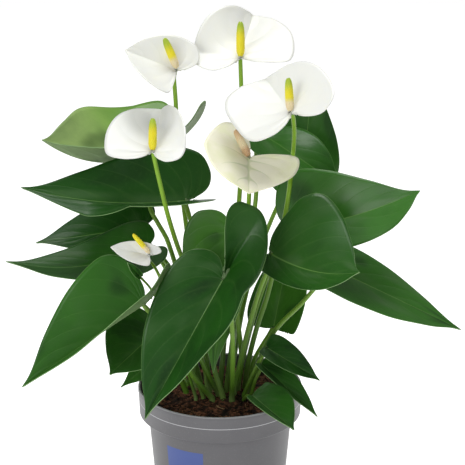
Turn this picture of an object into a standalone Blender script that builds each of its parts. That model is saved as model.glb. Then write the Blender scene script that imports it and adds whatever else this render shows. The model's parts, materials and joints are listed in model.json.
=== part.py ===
"""Potted anthurium in flower, at life size.

Metres, +Z up. The origin is the middle of the pot's flat base, and the plant
shows its front to -Y. The plant's own measures are in millimetres.

Every leaf is a blade on its own petiole, and every flower is a spathe with a
spadix on its own peduncle. All stalks rise from one crown in the middle of the
soil, each standing in a hole of its own.
"""

from dataclasses import dataclass
from math import cos, pi, radians, sin, tan

import bmesh
import bpy
from mathutils import Matrix, Vector

MM = 0.001
CLEARANCE = 0.3 * MM
MERGE = 0.02 * MM

# Pot: a tapered grower's pot with a deeper collar round its rim
POT_HEIGHT = 116.0 * MM
RIM_RADIUS = 65.0 * MM
COLLAR_HEIGHT = 22.5 * MM
COLLAR_TAPER = 1.0 * MM
SHOULDER_RADIUS = 57.0 * MM
BASE_RADIUS = 49.0 * MM
WALL = 1.8 * MM
FLOOR = 2.4 * MM
RIM_ROUND = 0.7 * MM
POT_SIDES = 48
DRAIN_HOLES = 6
DRAIN_RADIUS = 5.0 * MM
DRAIN_CIRCLE = 36.0 * MM
DRAIN_SIDES = 12

# Soil: fills the pot to a little under the rim
SOIL_RADIUS = 62.3 * MM
SOIL_EDGE = 105.0 * MM
SOIL_MOUND = 4.0 * MM
SOIL_LUMP = 1.2 * MM
SOIL_SIDES = 48
SOIL_RINGS = (0.96, 0.80, 0.62, 0.45)

# Stalks
STALK_SIDES = 6
STALK_DEPTH = 14.0 * MM
STALK_STEPS = 9
BEND_STEPS = 10
STALK_RISE = 2.0 * MM
HOLE_CLEARANCE = 0.5 * MM
HOLE_SIDES = 8
NECK = 3.5 * MM
NECK_GAP = 0.6 * MM

# Blades
LEAF_THICKNESS = 0.8 * MM
SPATHE_THICKNESS = 0.8 * MM

# Spadices: share of the length, share of the girth
SPADIX_FOOT = 1.2 * MM
SPADIX_SIDES = 8
SPADIX_PROFILE = (
    (0.0, 0.4),
    (0.07, 0.75),
    (0.18, 0.97),
    (0.5, 1.0),
    (0.8, 0.86),
    (0.93, 0.64),
    (1.0, 0.25),
)


# Small tools


def clear_scene():
    for thing in list(bpy.data.objects):
        bpy.data.objects.remove(thing, do_unlink=True)


def mm(point):
    return Vector(point) * MM


def make_material(name, colour, roughness):
    material = bpy.data.materials.new(name)
    material.use_nodes = True
    shader = material.node_tree.nodes["Principled BSDF"]
    shader.inputs["Base Color"].default_value = (*colour, 1.0)
    shader.inputs["Roughness"].default_value = roughness
    shader.inputs["Metallic"].default_value = 0.0
    material.diffuse_color = (*colour, 1.0)
    return material


def add_object(name, mesh, material):
    thing = bpy.data.objects.new(name, mesh)
    mesh.materials.append(material)
    bpy.context.collection.objects.link(thing)
    return thing


def add_from_bmesh(name, shape, material):
    mesh = bpy.data.meshes.new(name)
    shape.to_mesh(mesh)
    shape.free()
    mesh.shade_smooth()
    mesh.set_sharp_from_angle(angle=radians(40))
    return add_object(name, mesh, material)


def smooth_curve(points, steps):
    """Points along a Catmull-Rom curve, steps to each span."""
    ends = [points[0] * 2 - points[1]] + list(points) + [points[-1] * 2 - points[-2]]
    curve = []
    for before, start, end, after in zip(ends, ends[1:], ends[2:], ends[3:]):
        for step in range(steps):
            t = step / steps
            curve.append(
                0.5
                * (
                    start * 2
                    + (end - before) * t
                    + (before * 2 - start * 5 + end * 4 - after) * t * t
                    + (start * 3 - before - end * 3 + after) * t * t * t
                )
            )
    curve.append(points[-1].copy())
    return curve


def evenly_spaced(curve, count):
    """Count points at equal distances along a curve, its ends kept."""
    reach = [0.0]
    for start, end in zip(curve, curve[1:]):
        reach.append(reach[-1] + (end - start).length)
    spaced = [curve[0].copy()]
    at = 0
    for number in range(1, count - 1):
        distance = reach[-1] * number / (count - 1)
        while reach[at + 1] < distance:
            at += 1
        share = (distance - reach[at]) / (reach[at + 1] - reach[at])
        spaced.append(curve[at].lerp(curve[at + 1], share))
    spaced.append(curve[-1].copy())
    return spaced


def lathe(name, profile, sides, material):
    """Turn a closed (radius, height) profile round Z."""
    shape = bmesh.new()
    corners = [shape.verts.new((radius, 0.0, height)) for radius, height in profile]
    rim = [shape.edges.new((a, b)) for a, b in zip(corners, corners[1:] + corners[:1])]
    bmesh.ops.spin(
        shape,
        geom=corners + rim,
        axis=(0.0, 0.0, 1.0),
        cent=(0.0, 0.0, 0.0),
        angle=2 * pi,
        steps=sides,
        use_merge=True,
    )
    bmesh.ops.remove_doubles(shape, verts=shape.verts, dist=MERGE)
    bmesh.ops.recalc_face_normals(shape, faces=shape.faces)
    return add_from_bmesh(name, shape, material)


def cutter_column(radius, sides, low, high, place):
    """An upright prism that only cuts, circumscribed about its radius."""
    shape = bmesh.new()
    bmesh.ops.create_cone(
        shape,
        cap_ends=True,
        segments=sides,
        radius1=radius / cos(pi / sides),
        radius2=radius / cos(pi / sides),
        depth=high - low,
        matrix=Matrix.Translation((place[0], place[1], (low + high) / 2)),
    )
    mesh = bpy.data.meshes.new("cutter")
    shape.to_mesh(mesh)
    shape.free()
    cutter = bpy.data.objects.new("cutter", mesh)
    cutter.hide_render = True
    cutter.display_type = "WIRE"
    return cutter


def cut_all(thing, cutters, name):
    """Cut every column out of a solid with one Boolean on their collection."""
    group = bpy.data.collections.new(name)
    bpy.context.scene.collection.children.link(group)
    for cutter in cutters:
        group.objects.link(cutter)
    cut = thing.modifiers.new(name, "BOOLEAN")
    cut.operation = "DIFFERENCE"
    cut.operand_type = "COLLECTION"
    cut.collection = group


# Blades: leaves and spathes are one heart shape, bent in space


# Outline from the notch round one lobe to the tip. The first number runs along
# the midrib, in lobe lengths behind the stalk and blade lengths ahead of it, and
# the second runs across, in half widths.
LEAF_OUTLINE = (
    (0.0, 0.0),
    (-0.62, 0.11),
    (-0.94, 0.28),
    (-0.97, 0.54),
    (-0.62, 0.84),
    (0.08, 1.0),
    (0.36, 0.86),
    (0.66, 0.50),
    (0.88, 0.14),
    (1.0, 0.0),
)
SPATHE_OUTLINE = (
    (0.0, 0.0),
    (-0.66, 0.20),
    (-1.0, 0.52),
    (-0.60, 0.90),
    (0.14, 1.0),
    (0.48, 0.88),
    (0.76, 0.56),
    (0.93, 0.19),
    (1.0, 0.0),
)
OUTLINE_STEPS = 8

# The veins that fan from the stalk take this share of the edge, and the others
# leave the midrib bunched toward the stalk
FAN_SHARE = 0.34
VEIN_LEAN = 1.8


@dataclass
class Blade:
    """One heart-shaped blade. Pairs give its left and its right half, as seen
    from above with the tip ahead. Its fold turns into tip_fold between the two
    shares of its length that fold_span gives."""

    base: tuple
    tip: tuple
    face: tuple
    half_width: tuple
    lobe: tuple
    fold: tuple = (15, 15)
    tip_fold: tuple = (15, 15)
    fold_span: tuple = (0.0, 1.0)
    lobe_lift: tuple = (0, 0)
    lobe_turn: tuple = (0, 0)
    lobe_open: tuple = (0, 0)
    bow: float = 0.0
    sickle: float = 0.0
    belly: tuple = (1.0, 1.0)
    outline: tuple = LEAF_OUTLINE
    thickness: float = LEAF_THICKNESS
    rows: int = 12
    columns: int = 3

    def length(self):
        return (mm(self.tip) - mm(self.base)).length

    def axes(self):
        """Across, ahead and up at the stalk, from the chord and the face."""
        ahead = (mm(self.tip) - mm(self.base)).normalized()
        up = Vector(self.face)
        up = (up - ahead * up.dot(ahead)).normalized()
        return ahead.cross(up), ahead, up

    def midrib(self, along):
        """Place and axes of the midrib at a share of its length, 0 to 1."""
        across, ahead, up = self.axes()
        start = mm(self.base)
        end = mm(self.tip)
        handle = (start + end) / 2 + (up * self.bow + across * self.sickle) * 2 * self.length()
        place = start * (1 - along) ** 2 + handle * 2 * along * (1 - along) + end * along**2
        ahead = ((handle - start) * (1 - along) + (end - handle) * along).normalized()
        up = (up - ahead * up.dot(ahead)).normalized()
        return place, ahead.cross(up), ahead, up

    def behind(self, distance, half):
        """Place and axes of the bent line that carries one lobe."""
        place, across, ahead, up = self.midrib(0.0)
        bend = radians(self.lobe_lift[half]) * distance / (self.lobe[half] * MM)
        if abs(bend) < 1e-6:
            return place - ahead * distance, across, ahead, up
        radius = distance / bend
        place = place - ahead * radius * sin(bend) + up * radius * (1 - cos(bend))
        return place, across, ahead * cos(bend) - up * sin(bend), up * cos(bend) + ahead * sin(bend)

    def outline_points(self, half, count):
        """Flat outline of one half, in metres along and across."""
        points = []
        for along, across in self.outline:
            if along > 0:
                along = self.length() * along ** self.belly[half]
            else:
                along = self.lobe[half] * MM * along
            point = Vector((along, across * self.half_width[half] * MM))
            if along < 0:
                point.rotate(Matrix.Rotation(radians(self.lobe_turn[half]), 2))
            points.append(point)
        return evenly_spaced(smooth_curve(points, OUTLINE_STEPS), count)

    def place(self, along, across, half):
        """Bend the flat point (along, across) of one half into space."""
        if along < 0:
            place, side, _, up = self.behind(-along, half)
            share = -along / (self.lobe[half] * MM)
            slope = radians(self.fold[half] - self.lobe_open[half] * min(share, 1.0))
        else:
            way = min(along / self.length(), 1.0)
            place, side, _, up = self.midrib(way)
            first, last = self.fold_span
            turned = min(max((way - first) / (last - first), 0.0), 1.0)
            slope = radians(self.fold[half] + (self.tip_fold[half] - self.fold[half]) * turned)
        out = side * across * cos(slope) * (1 if half else -1)
        return place + out + up * abs(across) * sin(slope)

    def surface(self):
        """Middle surface of the blade, in triangles, its upper side outward. The
        first row is the notch's own edge, from the stalk to the outline."""
        shape = bmesh.new()
        for half in (0, 1):
            edge = self.outline_points(half, self.rows + 1)
            grid = []
            for row, rim in enumerate(edge[1:], 1):
                turn = row / self.rows
                lean = max(0.0, (turn - FAN_SHARE) / (1 - FAN_SHARE))
                root = Vector((self.length() * lean**VEIN_LEAN, 0.0))
                line = []
                for column in range(self.columns + 1):
                    flat = root.lerp(rim, column / self.columns)
                    line.append(shape.verts.new(self.place(flat.x, flat.y, half)))
                grid.append(line)
            for lower, upper in zip(grid, grid[1:]):
                for column in range(self.columns):
                    corners = [lower[column], lower[column + 1], upper[column + 1], upper[column]]
                    shape.faces.new(corners if half else corners[::-1])
        bmesh.ops.remove_doubles(shape, verts=shape.verts, dist=MERGE)
        bmesh.ops.triangulate(shape, faces=shape.faces, quad_method="SHORT_EDGE")
        return shape


def add_blade(name, blade, material):
    thing = add_from_bmesh(name, blade.surface(), material)
    skin = thing.modifiers.new("thickness", "SOLIDIFY")
    skin.thickness = blade.thickness
    skin.offset = 0.0
    return thing


# Stalks: petioles and peduncles


@dataclass
class Shoot:
    """One stalk and the blade it carries: where it stands in the soil, the
    points it passes, and its radius at the foot and at the neck."""

    foot: tuple
    via: tuple
    blade: Blade
    thick: tuple = (2.2, 1.6)


@dataclass
class Flower(Shoot):
    """A shoot that also carries a spadix: its upper end and its radius."""

    spadix: tuple = (0, 0, 0)
    girth: float = 3.0


def stalk_path(shoot):
    """From under the soil, up through hand-placed points, to the blade's neck."""
    end, _, _, up = shoot.blade.midrib(0.0)
    droop = radians(max(0, -min(shoot.blade.fold)))
    drop = shoot.blade.thickness / 2 + NECK_GAP + shoot.thick[1] * MM * tan(droop)
    top = end - up * drop
    ground = Vector((shoot.foot[0] * MM, shoot.foot[1] * MM, SOIL_EDGE + SOIL_MOUND))
    rising = [ground + Vector((0.0, 0.0, STALK_RISE))] + [mm(point) for point in shoot.via]
    curve = evenly_spaced(smooth_curve(rising + [top - up * NECK], BEND_STEPS), STALK_STEPS)
    return [ground - Vector((0.0, 0.0, STALK_DEPTH))] + curve + [top]


def add_stalk(name, shoot, material):
    """A tapering round stalk with flat ends."""
    path = stalk_path(shoot)
    curve = bpy.data.curves.new(name, "CURVE")
    curve.dimensions = "3D"
    curve.bevel_depth = 1.0
    curve.bevel_resolution = (STALK_SIDES - 4) // 2
    curve.use_fill_caps = True
    line = curve.splines.new("POLY")
    line.points.add(len(path) - 1)
    foot, neck = shoot.thick
    for number, (point, place) in enumerate(zip(line.points, path)):
        point.co = (*place, 1.0)
        point.radius = (foot + (neck - foot) * number / (len(path) - 1)) * MM
    curve.materials.append(material)
    thing = bpy.data.objects.new(name, curve)
    bpy.context.collection.objects.link(thing)
    return thing


# Where everything is, in millimetres and degrees. The leaves go from the left
# of the plant to its right, and each pair goes from a blade's left half to its
# right half.


LEAVES = {
    "upper_left": Shoot(
        foot=(-20, 6),
        via=((-30, 10, 190), (-40, 12, 230), (-47, 14, 244), (-55, 20, 260), (-52, 40, 282)),
        blade=Blade(
            base=(-41, 60, 294.5),
            tip=(-135, -4, 319.5),
            face=(0, 0, 1),
            half_width=(42, 53),
            lobe=(50, 26),
            fold=(38, 33),
            tip_fold=(30, 56),
            lobe_lift=(42, 0),
            lobe_open=(-12, 0),
            bow=-0.13,
            belly=(0.6, 0.42),
        ),
    ),
    "left_broad": Shoot(
        foot=(-8, 0),
        via=((-16, 2, 190), (-18, 1, 233)),
        blade=Blade(
            base=(-26, 0, 269),
            tip=(-151, -18, 286),
            face=(0, 0, 1),
            half_width=(27, 45),
            lobe=(22, 22),
            fold=(13, 60),
            tip_fold=(-30, 52),
            fold_span=(0.36, 0.6),
            bow=-0.05,
            belly=(1.0, 1.0),
        ),
    ),
    "left_back": Shoot(
        foot=(-16, 16),
        via=((-34, 30, 180), (-52, 38, 215)),
        blade=Blade(
            base=(-65, 34, 235),
            tip=(-145, 22, 227),
            face=(0, 0, 1),
            half_width=(20, 31),
            lobe=(8, 16),
            fold=(-50, 46),
            tip_fold=(-30, 30),
        ),
    ),
    "left_long": Shoot(
        foot=(-1, -8),
        via=((-15, -12, 143), (-32, -6, 200), (-44, 0, 222)),
        blade=Blade(
            base=(-60, 6, 227),
            tip=(-165, -12, 224),
            face=(0, 0, 1),
            half_width=(38, 30),
            lobe=(18, 14),
            fold=(-5, 35),
            tip_fold=(0, 24),
            bow=-0.09,
        ),
    ),
    "lower_left_large": Shoot(
        foot=(-6, -17),
        via=((-22, -24, 135), (-45, -40, 182)),
        blade=Blade(
            base=(-58, -48, 203),
            tip=(-149, -78, 147),
            face=(-0.57, -0.67, 1.1),
            half_width=(44, 48),
            lobe=(52, 9),
            fold=(50, 45),
            tip_fold=(34, 45),
            lobe_lift=(62, 0),
        ),
    ),
    "front_large": Shoot(
        foot=(9.5, -17),
        via=((10, -30, 140), (10, -44, 172), (8, -56, 205)),
        blade=Blade(
            base=(3, -62, 228),
            tip=(-56, -92, 127),
            face=(-0.1, -0.95, 0.3),
            half_width=(46, 40),
            lobe=(56, 18),
            fold=(60, 8),
            tip_fold=(66, 8),
            lobe_lift=(0, -20),
            lobe_turn=(38, -14),
            lobe_open=(58, 0),
            belly=(0.9, 0.7),
        ),
    ),
    "centre_hanging": Shoot(
        foot=(14, 3),
        via=((17, -1, 140), (13, -10, 185)),
        blade=Blade(
            base=(9, -22, 252),
            tip=(-5, -42, 143),
            face=(-0.2, -0.9, 0.4),
            half_width=(22, 36),
            lobe=(15, 15),
            fold=(10, 8),
            tip_fold=(15, 8),
        ),
    ),
    "right_heart": Shoot(
        foot=(11, -5),
        via=((18, -9, 148), (29, -18, 197)),
        blade=Blade(
            base=(39, -36, 239),
            tip=(103, -95, 246),
            face=(-0.63, -0.46, 0.62),
            half_width=(61, 17),
            lobe=(10, 4),
            fold=(-5, 8),
            tip_fold=(-30, 8),
            bow=-0.05,
            sickle=0.06,
            belly=(0.88, 0.46),
        ),
    ),
    "right_low": Shoot(
        foot=(22, -1),
        via=((41, 0, 158), (66, 0, 187)),
        blade=Blade(
            base=(86, -4, 216),
            tip=(187, -24, 172),
            face=(0.1, -0.3, 0.95),
            half_width=(26, 32),
            lobe=(28, 28),
            fold=(20, 5),
            tip_fold=(20, 10),
            belly=(1.0, 0.6),
        ),
    ),
    "right_upper": Shoot(
        foot=(13, 12),
        via=((30, 14, 180), (46, 12, 222)),
        blade=Blade(
            base=(59, 10, 243),
            tip=(154, -4, 279),
            face=(0.0, -0.7, 0.7),
            half_width=(46, 30),
            lobe=(14, 8),
            sickle=0.04,
            belly=(1.0, 0.35),
        ),
    ),
    "top_right_back": Shoot(
        foot=(8, 19),
        via=((22, 46, 180), (46, 96, 231)),
        blade=Blade(
            base=(67, 92, 266),
            tip=(75, 100, 341),
            face=(0.0, -0.9, 0.4),
            half_width=(30, 30),
            lobe=(22, 22),
        ),
    ),
    "top_right": Shoot(
        foot=(6, 9),
        via=((16, 12, 190), (28, 18, 264)),
        blade=Blade(
            base=(31, 56, 308),
            tip=(97, 58, 262),
            face=(0.4, -0.5, 0.8),
            half_width=(34, 30),
            lobe=(4, 10),
            fold=(-45, 10),
            tip_fold=(70, 20),
            belly=(0.8, 0.8),
        ),
    ),
    "right_small": Shoot(
        foot=(19, -9),
        via=((28, -10, 134),),
        thick=(1.6, 1.2),
        blade=Blade(
            base=(37, -12, 152),
            tip=(78, -30, 132),
            face=(0.1, -0.7, 0.7),
            half_width=(14, 10),
            lobe=(3, 3),
            belly=(0.8, 0.6),
            rows=9,
            columns=2,
        ),
    ),
    "right_shaded": Shoot(
        foot=(25, -8),
        via=((28, -10, 124),),
        thick=(1.6, 1.2),
        blade=Blade(
            base=(33, -10, 137),
            tip=(76, -45, 108),
            face=(0.1, -0.7, 0.7),
            half_width=(13, 10),
            lobe=(2, 2),
            fold=(10, 45),
            tip_fold=(10, 45),
            belly=(0.7, 0.7),
            rows=9,
            columns=2,
        ),
    ),
    "rim_right": Shoot(
        foot=(19, -18),
        via=((22, -28, 118),),
        thick=(1.6, 1.2),
        blade=Blade(
            base=(26, -40, 123),
            tip=(57, -72, 109),
            face=(0.1, -0.7, 0.7),
            half_width=(21, 7),
            lobe=(3, 2.5),
            fold=(-5, 30),
            tip_fold=(30, 30),
            belly=(0.5, 0.7),
            rows=9,
            columns=2,
        ),
    ),
    "back_upright": Shoot(
        foot=(22, 16),
        via=((28, 20, 130),),
        blade=Blade(
            base=(43, 30, 153),
            tip=(58, 66, 218),
            face=(0.0, -0.8, 0.5),
            half_width=(24, 22),
            lobe=(3, 3),
            belly=(0.8, 0.5),
        ),
    ),
    "low_left_shaded": Shoot(
        foot=(-27, -3),
        via=((-38, -6, 138),),
        blade=Blade(
            base=(-53, -8, 161),
            tip=(-85, -40, 141),
            face=(0, -0.4, 1),
            half_width=(24, 34),
            lobe=(12, 12),
            fold=(0, 20),
            tip_fold=(0, 20),
            belly=(0.7, 0.8),
        ),
    ),
    "low_left_small": Shoot(
        foot=(-26, 14),
        via=(),
        thick=(1.6, 1.2),
        blade=Blade(
            base=(-44, 24, 135),
            tip=(-79, 0, 113),
            face=(0.0, -0.8, 0.5),
            half_width=(14, 14),
            lobe=(6, 6),
        ),
    ),
    "young": Shoot(
        foot=(-19, -14),
        via=((-30, -20, 150), (-47, -37, 200), (-53, -44, 215)),
        thick=(1.4, 0.8),
        blade=Blade(
            base=(-60, -53, 228),
            tip=(-69, -55, 239),
            face=(0.3, -0.9, 0.3),
            half_width=(4, 3),
            lobe=(2, 2),
            fold=(25, 25),
            tip_fold=(25, 25),
            belly=(0.6, 0.6),
            rows=6,
            columns=1,
        ),
    ),
}

FLOWERS = {
    "front_left": Flower(
        foot=(2.5, -14),
        via=((-4, -13, 133), (-15, -12, 185), (-27, -9, 220), (-33, -15, 240), (-40, -38, 276)),
        spadix=(-49, -41, 347),
        girth=3.0,
        blade=Blade(
            base=(-49, -48, 324),
            tip=(-44, 4, 341),
            face=(-0.15, -0.5, 1),
            half_width=(37, 25),
            lobe=(12, 15),
            fold=(8, 0),
            tip_fold=(30, 60),
            belly=(0.8, 0.75),
            outline=SPATHE_OUTLINE,
            thickness=SPATHE_THICKNESS,
        ),
    ),
    "top_left": Flower(
        foot=(-10, 10),
        via=((-22, 30, 200), (-32, 34, 285), (-33, 30, 306), (-33, 18, 318), (-33, 6, 329), (-33, 1, 346)),
        spadix=(-41, 2, 397),
        girth=2.9,
        blade=Blade(
            base=(-33, 0, 373),
            tip=(-71, 2, 388),
            face=(0, -0.3, 1),
            half_width=(31, 27),
            lobe=(2, 14),
            fold=(-5, 35),
            tip_fold=(5, 45),
            belly=(1.0, 1.2),
            outline=SPATHE_OUTLINE,
            thickness=SPATHE_THICKNESS,
        ),
    ),
    "top": Flower(
        foot=(0, 5),
        via=((7, 10, 190), (15, 10, 265), (17, 14, 330)),
        spadix=(16, 22, 405),
        girth=3.1,
        blade=Blade(
            base=(16, 15, 379),
            tip=(26, 65, 400),
            face=(0, -0.5, 1),
            half_width=(37, 40),
            lobe=(20, 5),
            fold=(0, 5),
            tip_fold=(60, 20),
            belly=(0.8, 0.9),
            outline=SPATHE_OUTLINE,
            thickness=SPATHE_THICKNESS,
        ),
    ),
    "right": Flower(
        foot=(20, 8),
        via=((22, 3, 132), (29, 0, 164), (38, 0, 195), (48, -2, 245), (53, -3, 276), (56, -26, 325)),
        spadix=(51, -38, 377),
        girth=3.0,
        blade=Blade(
            base=(53, -45, 353),
            tip=(35, 5, 365),
            face=(-0.5, -0.4, 1),
            half_width=(42, 38),
            lobe=(17, 24),
            fold=(8, 8),
            tip_fold=(25, 25),
            belly=(0.42, 0.8),
            outline=SPATHE_OUTLINE,
            thickness=SPATHE_THICKNESS,
        ),
    ),
    "middle": Flower(
        foot=(5, 0),
        via=((14, -2, 190), (22, -12, 266)),
        spadix=(12, -24, 333),
        girth=2.8,
        blade=Blade(
            base=(22, -30, 313),
            tip=(22, -78, 301),
            face=(0, -0.3, 1),
            half_width=(38, 38),
            lobe=(6, 30),
            fold=(0, 32),
            tip_fold=(0, 20),
            lobe_turn=(0, 25),
            outline=SPATHE_OUTLINE,
            thickness=SPATHE_THICKNESS,
        ),
    ),
    "small_left": Flower(
        foot=(-13, -14),
        via=((-26, -18, 150), (-45, -34, 218)),
        thick=(1.6, 1.1),
        spadix=(-64, -60, 263),
        girth=1.8,
        blade=Blade(
            base=(-53, -58, 246),
            tip=(-81, -60, 253),
            face=(0, -0.8, 1),
            half_width=(11, 9),
            lobe=(2, 9),
            fold=(10, 45),
            tip_fold=(10, 0),
            outline=SPATHE_OUTLINE,
            thickness=SPATHE_THICKNESS,
        ),
    ),
}


# Spadices


def spadix_foot(flower):
    """Where a leaning spadix starts, clear of the folded halves on both sides."""
    place, _, _, up = flower.blade.midrib(0.0)
    slope = radians(max(0, *flower.blade.fold))
    lean = (mm(flower.spadix) - place).normalized().cross(up).length
    clear = flower.blade.thickness / 2 + CLEARANCE
    return place + up * (clear + SPADIX_FOOT * (sin(slope) + lean)) / cos(slope)


def add_spadix(name, flower, material):
    """A straight tapering rod with a round end, set on a narrow foot."""
    start = spadix_foot(flower)
    axis = mm(flower.spadix) - start
    turn = axis.to_track_quat("Z", "Y").to_matrix().to_4x4()
    shape = bmesh.new()
    rings = []
    for height, share in SPADIX_PROFILE:
        radius = max(flower.girth * MM * share, SPADIX_FOOT)
        ring = []
        for side in range(SPADIX_SIDES):
            angle = 2 * pi * side / SPADIX_SIDES
            ring.append(shape.verts.new((radius * cos(angle), radius * sin(angle), axis.length * height)))
        rings.append(ring)
    for lower, upper in zip(rings, rings[1:]):
        for side in range(SPADIX_SIDES):
            after = (side + 1) % SPADIX_SIDES
            shape.faces.new((lower[side], lower[after], upper[after], upper[side]))
    shape.faces.new(rings[0][::-1])
    shape.faces.new(rings[-1])
    bmesh.ops.transform(shape, matrix=Matrix.Translation(start) @ turn, verts=shape.verts)
    return add_from_bmesh(name, shape, material)


# Pot and soil


def add_pot(material):
    """Tapered body, ledge and collar in one wall, with drain holes in the floor."""
    ledge = POT_HEIGHT - COLLAR_HEIGHT
    profile = [
        (0.0, 0.0),
        (BASE_RADIUS, 0.0),
        (SHOULDER_RADIUS, ledge),
        (RIM_RADIUS - COLLAR_TAPER, ledge),
        (RIM_RADIUS, POT_HEIGHT - RIM_ROUND),
        (RIM_RADIUS - RIM_ROUND, POT_HEIGHT),
        (RIM_RADIUS - WALL, POT_HEIGHT),
        (RIM_RADIUS - COLLAR_TAPER - WALL, ledge + WALL),
        (SHOULDER_RADIUS - WALL, ledge + WALL),
        (BASE_RADIUS - WALL, FLOOR),
        (0.0, FLOOR),
    ]
    pot = lathe("pot", profile, POT_SIDES, material)
    drains = []
    for number in range(DRAIN_HOLES):
        angle = 2 * pi * number / DRAIN_HOLES
        place = (DRAIN_CIRCLE * cos(angle), DRAIN_CIRCLE * sin(angle))
        drains.append(cutter_column(DRAIN_RADIUS, DRAIN_SIDES, -FLOOR, 2 * FLOOR, place))
    cut_all(pot, drains, "drains")
    return pot


def soil_height(radius, angle):
    """Top of the soil: a low mound with soft lumps, level at the wall."""
    inward = 1 - radius / SOIL_RADIUS
    lumps = sin(3 * angle + 40 * inward) + 0.6 * sin(5 * angle - 23 * inward)
    return SOIL_EDGE + SOIL_MOUND * sin(pi / 2 * inward) + SOIL_LUMP * lumps * inward * (1 - inward) * 2


def add_soil(material):
    """Fills the pot's body and collar, with a hole for every stalk."""
    ledge = POT_HEIGHT - COLLAR_HEIGHT + WALL
    wall = (
        (BASE_RADIUS - WALL - CLEARANCE, FLOOR + CLEARANCE),
        (SHOULDER_RADIUS - WALL - CLEARANCE, ledge + CLEARANCE),
        (RIM_RADIUS - COLLAR_TAPER - WALL - CLEARANCE, ledge + CLEARANCE),
        (SOIL_RADIUS, SOIL_EDGE),
    )
    shape = bmesh.new()
    rings = []
    for radius, height in wall:
        ring = []
        for side in range(SOIL_SIDES):
            angle = 2 * pi * side / SOIL_SIDES
            ring.append(shape.verts.new((radius * cos(angle), radius * sin(angle), height)))
        rings.append(ring)
    for share in SOIL_RINGS:
        radius = SOIL_RADIUS * share
        ring = []
        for side in range(SOIL_SIDES):
            angle = 2 * pi * side / SOIL_SIDES
            height = soil_height(radius, angle)
            ring.append(shape.verts.new((radius * cos(angle), radius * sin(angle), height)))
        rings.append(ring)
    for lower, upper in zip(rings, rings[1:]):
        for side in range(SOIL_SIDES):
            after = (side + 1) % SOIL_SIDES
            shape.faces.new((lower[side], lower[after], upper[after], upper[side]))
    shape.faces.new(rings[0][::-1])
    shape.faces.new(rings[-1])
    soil = add_from_bmesh("soil", shape, material)
    holes = []
    floor = SOIL_EDGE + SOIL_MOUND - STALK_DEPTH - CLEARANCE
    for shoot in [*LEAVES.values(), *FLOWERS.values()]:
        place = (shoot.foot[0] * MM, shoot.foot[1] * MM)
        radius = shoot.thick[0] * MM + HOLE_CLEARANCE
        holes.append(cutter_column(radius, HOLE_SIDES, floor, POT_HEIGHT, place))
    cut_all(soil, holes, "stalk_holes")
    return soil


# The whole plant


def build_plant():
    leaf_green = make_material("leaf", (0.035, 0.12, 0.03), 0.35)
    petiole_green = make_material("petiole", (0.12, 0.26, 0.04), 0.45)
    white = make_material("spathe", (0.88, 0.89, 0.84), 0.4)
    yellow = make_material("spadix", (0.80, 0.66, 0.04), 0.6)
    grey = make_material("pot", (0.16, 0.16, 0.17), 0.5)
    brown = make_material("soil", (0.07, 0.045, 0.03), 0.95)
    add_pot(grey)
    add_soil(brown)
    for name, leaf in LEAVES.items():
        add_blade("leaf_" + name, leaf.blade, leaf_green)
        add_stalk("petiole_" + name, leaf, petiole_green)
    for name, flower in FLOWERS.items():
        add_blade("spathe_" + name, flower.blade, white)
        add_stalk("peduncle_" + name, flower, petiole_green)
        add_spadix("spadix_" + name, flower, yellow)


clear_scene()
build_plant()
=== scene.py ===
"""Looks of the potted anthurium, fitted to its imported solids.

Metres, +Z up, with the middle of the pot's base at the origin and the plant's
front toward -Y. The plant's own measures are in millimetres. Each piece stands
for the plain solid of its kind and keeps its form.
"""

import json
from dataclasses import dataclass
from math import cos, pi, radians, sin, tan

import bmesh
import bpy
from mathutils import Matrix, Vector, noise

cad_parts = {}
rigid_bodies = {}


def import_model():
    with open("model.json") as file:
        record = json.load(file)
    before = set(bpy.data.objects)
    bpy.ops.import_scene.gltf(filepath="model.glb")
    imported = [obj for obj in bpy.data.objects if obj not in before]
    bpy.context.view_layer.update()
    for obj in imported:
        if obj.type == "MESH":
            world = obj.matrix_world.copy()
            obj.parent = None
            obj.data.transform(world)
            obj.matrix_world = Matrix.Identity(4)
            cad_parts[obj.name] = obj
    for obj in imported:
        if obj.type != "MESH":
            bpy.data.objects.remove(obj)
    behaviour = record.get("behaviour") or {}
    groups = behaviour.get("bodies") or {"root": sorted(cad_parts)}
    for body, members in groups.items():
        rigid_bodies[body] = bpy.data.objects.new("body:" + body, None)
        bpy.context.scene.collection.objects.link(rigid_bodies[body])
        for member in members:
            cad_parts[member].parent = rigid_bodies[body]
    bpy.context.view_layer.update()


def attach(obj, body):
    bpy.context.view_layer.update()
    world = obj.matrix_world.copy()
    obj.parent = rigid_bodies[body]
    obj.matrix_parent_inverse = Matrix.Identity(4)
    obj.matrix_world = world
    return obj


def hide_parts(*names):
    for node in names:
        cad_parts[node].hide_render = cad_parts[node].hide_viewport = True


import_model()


# Camera, light and floor
#
# A long lens, of a focal length given in picture widths, looks down a little on
# the plant from the front. The light is a white room with a broad lamp above and a
# weaker one at the front left, and the floor is plain and nearly white.

CAMERA_PLACE = (0.00993, -1.5165, 0.7746)
CAMERA_PITCH = 19.3
SENSOR = 36.0
FOCAL_WIDTHS = 2075 / 465
PLANT_MIDDLE = (0.0, 0.0, 0.22)
LAMP_SIZE = 0.9
ROOM_LIGHT = 0.27
FLOOR_SIZE = 12.0
FLOOR_GLOW = 0.62

scene = bpy.context.scene
scene.view_settings.view_transform = "Standard"
lens = bpy.data.cameras.new("camera")
lens.sensor_width = SENSOR
lens.lens = SENSOR * FOCAL_WIDTHS
camera = bpy.data.objects.new("camera", lens)
camera.location = CAMERA_PLACE
camera.rotation_euler = (radians(90 - CAMERA_PITCH), 0.0, 0.0)
scene.collection.objects.link(camera)
scene.camera = camera

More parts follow.
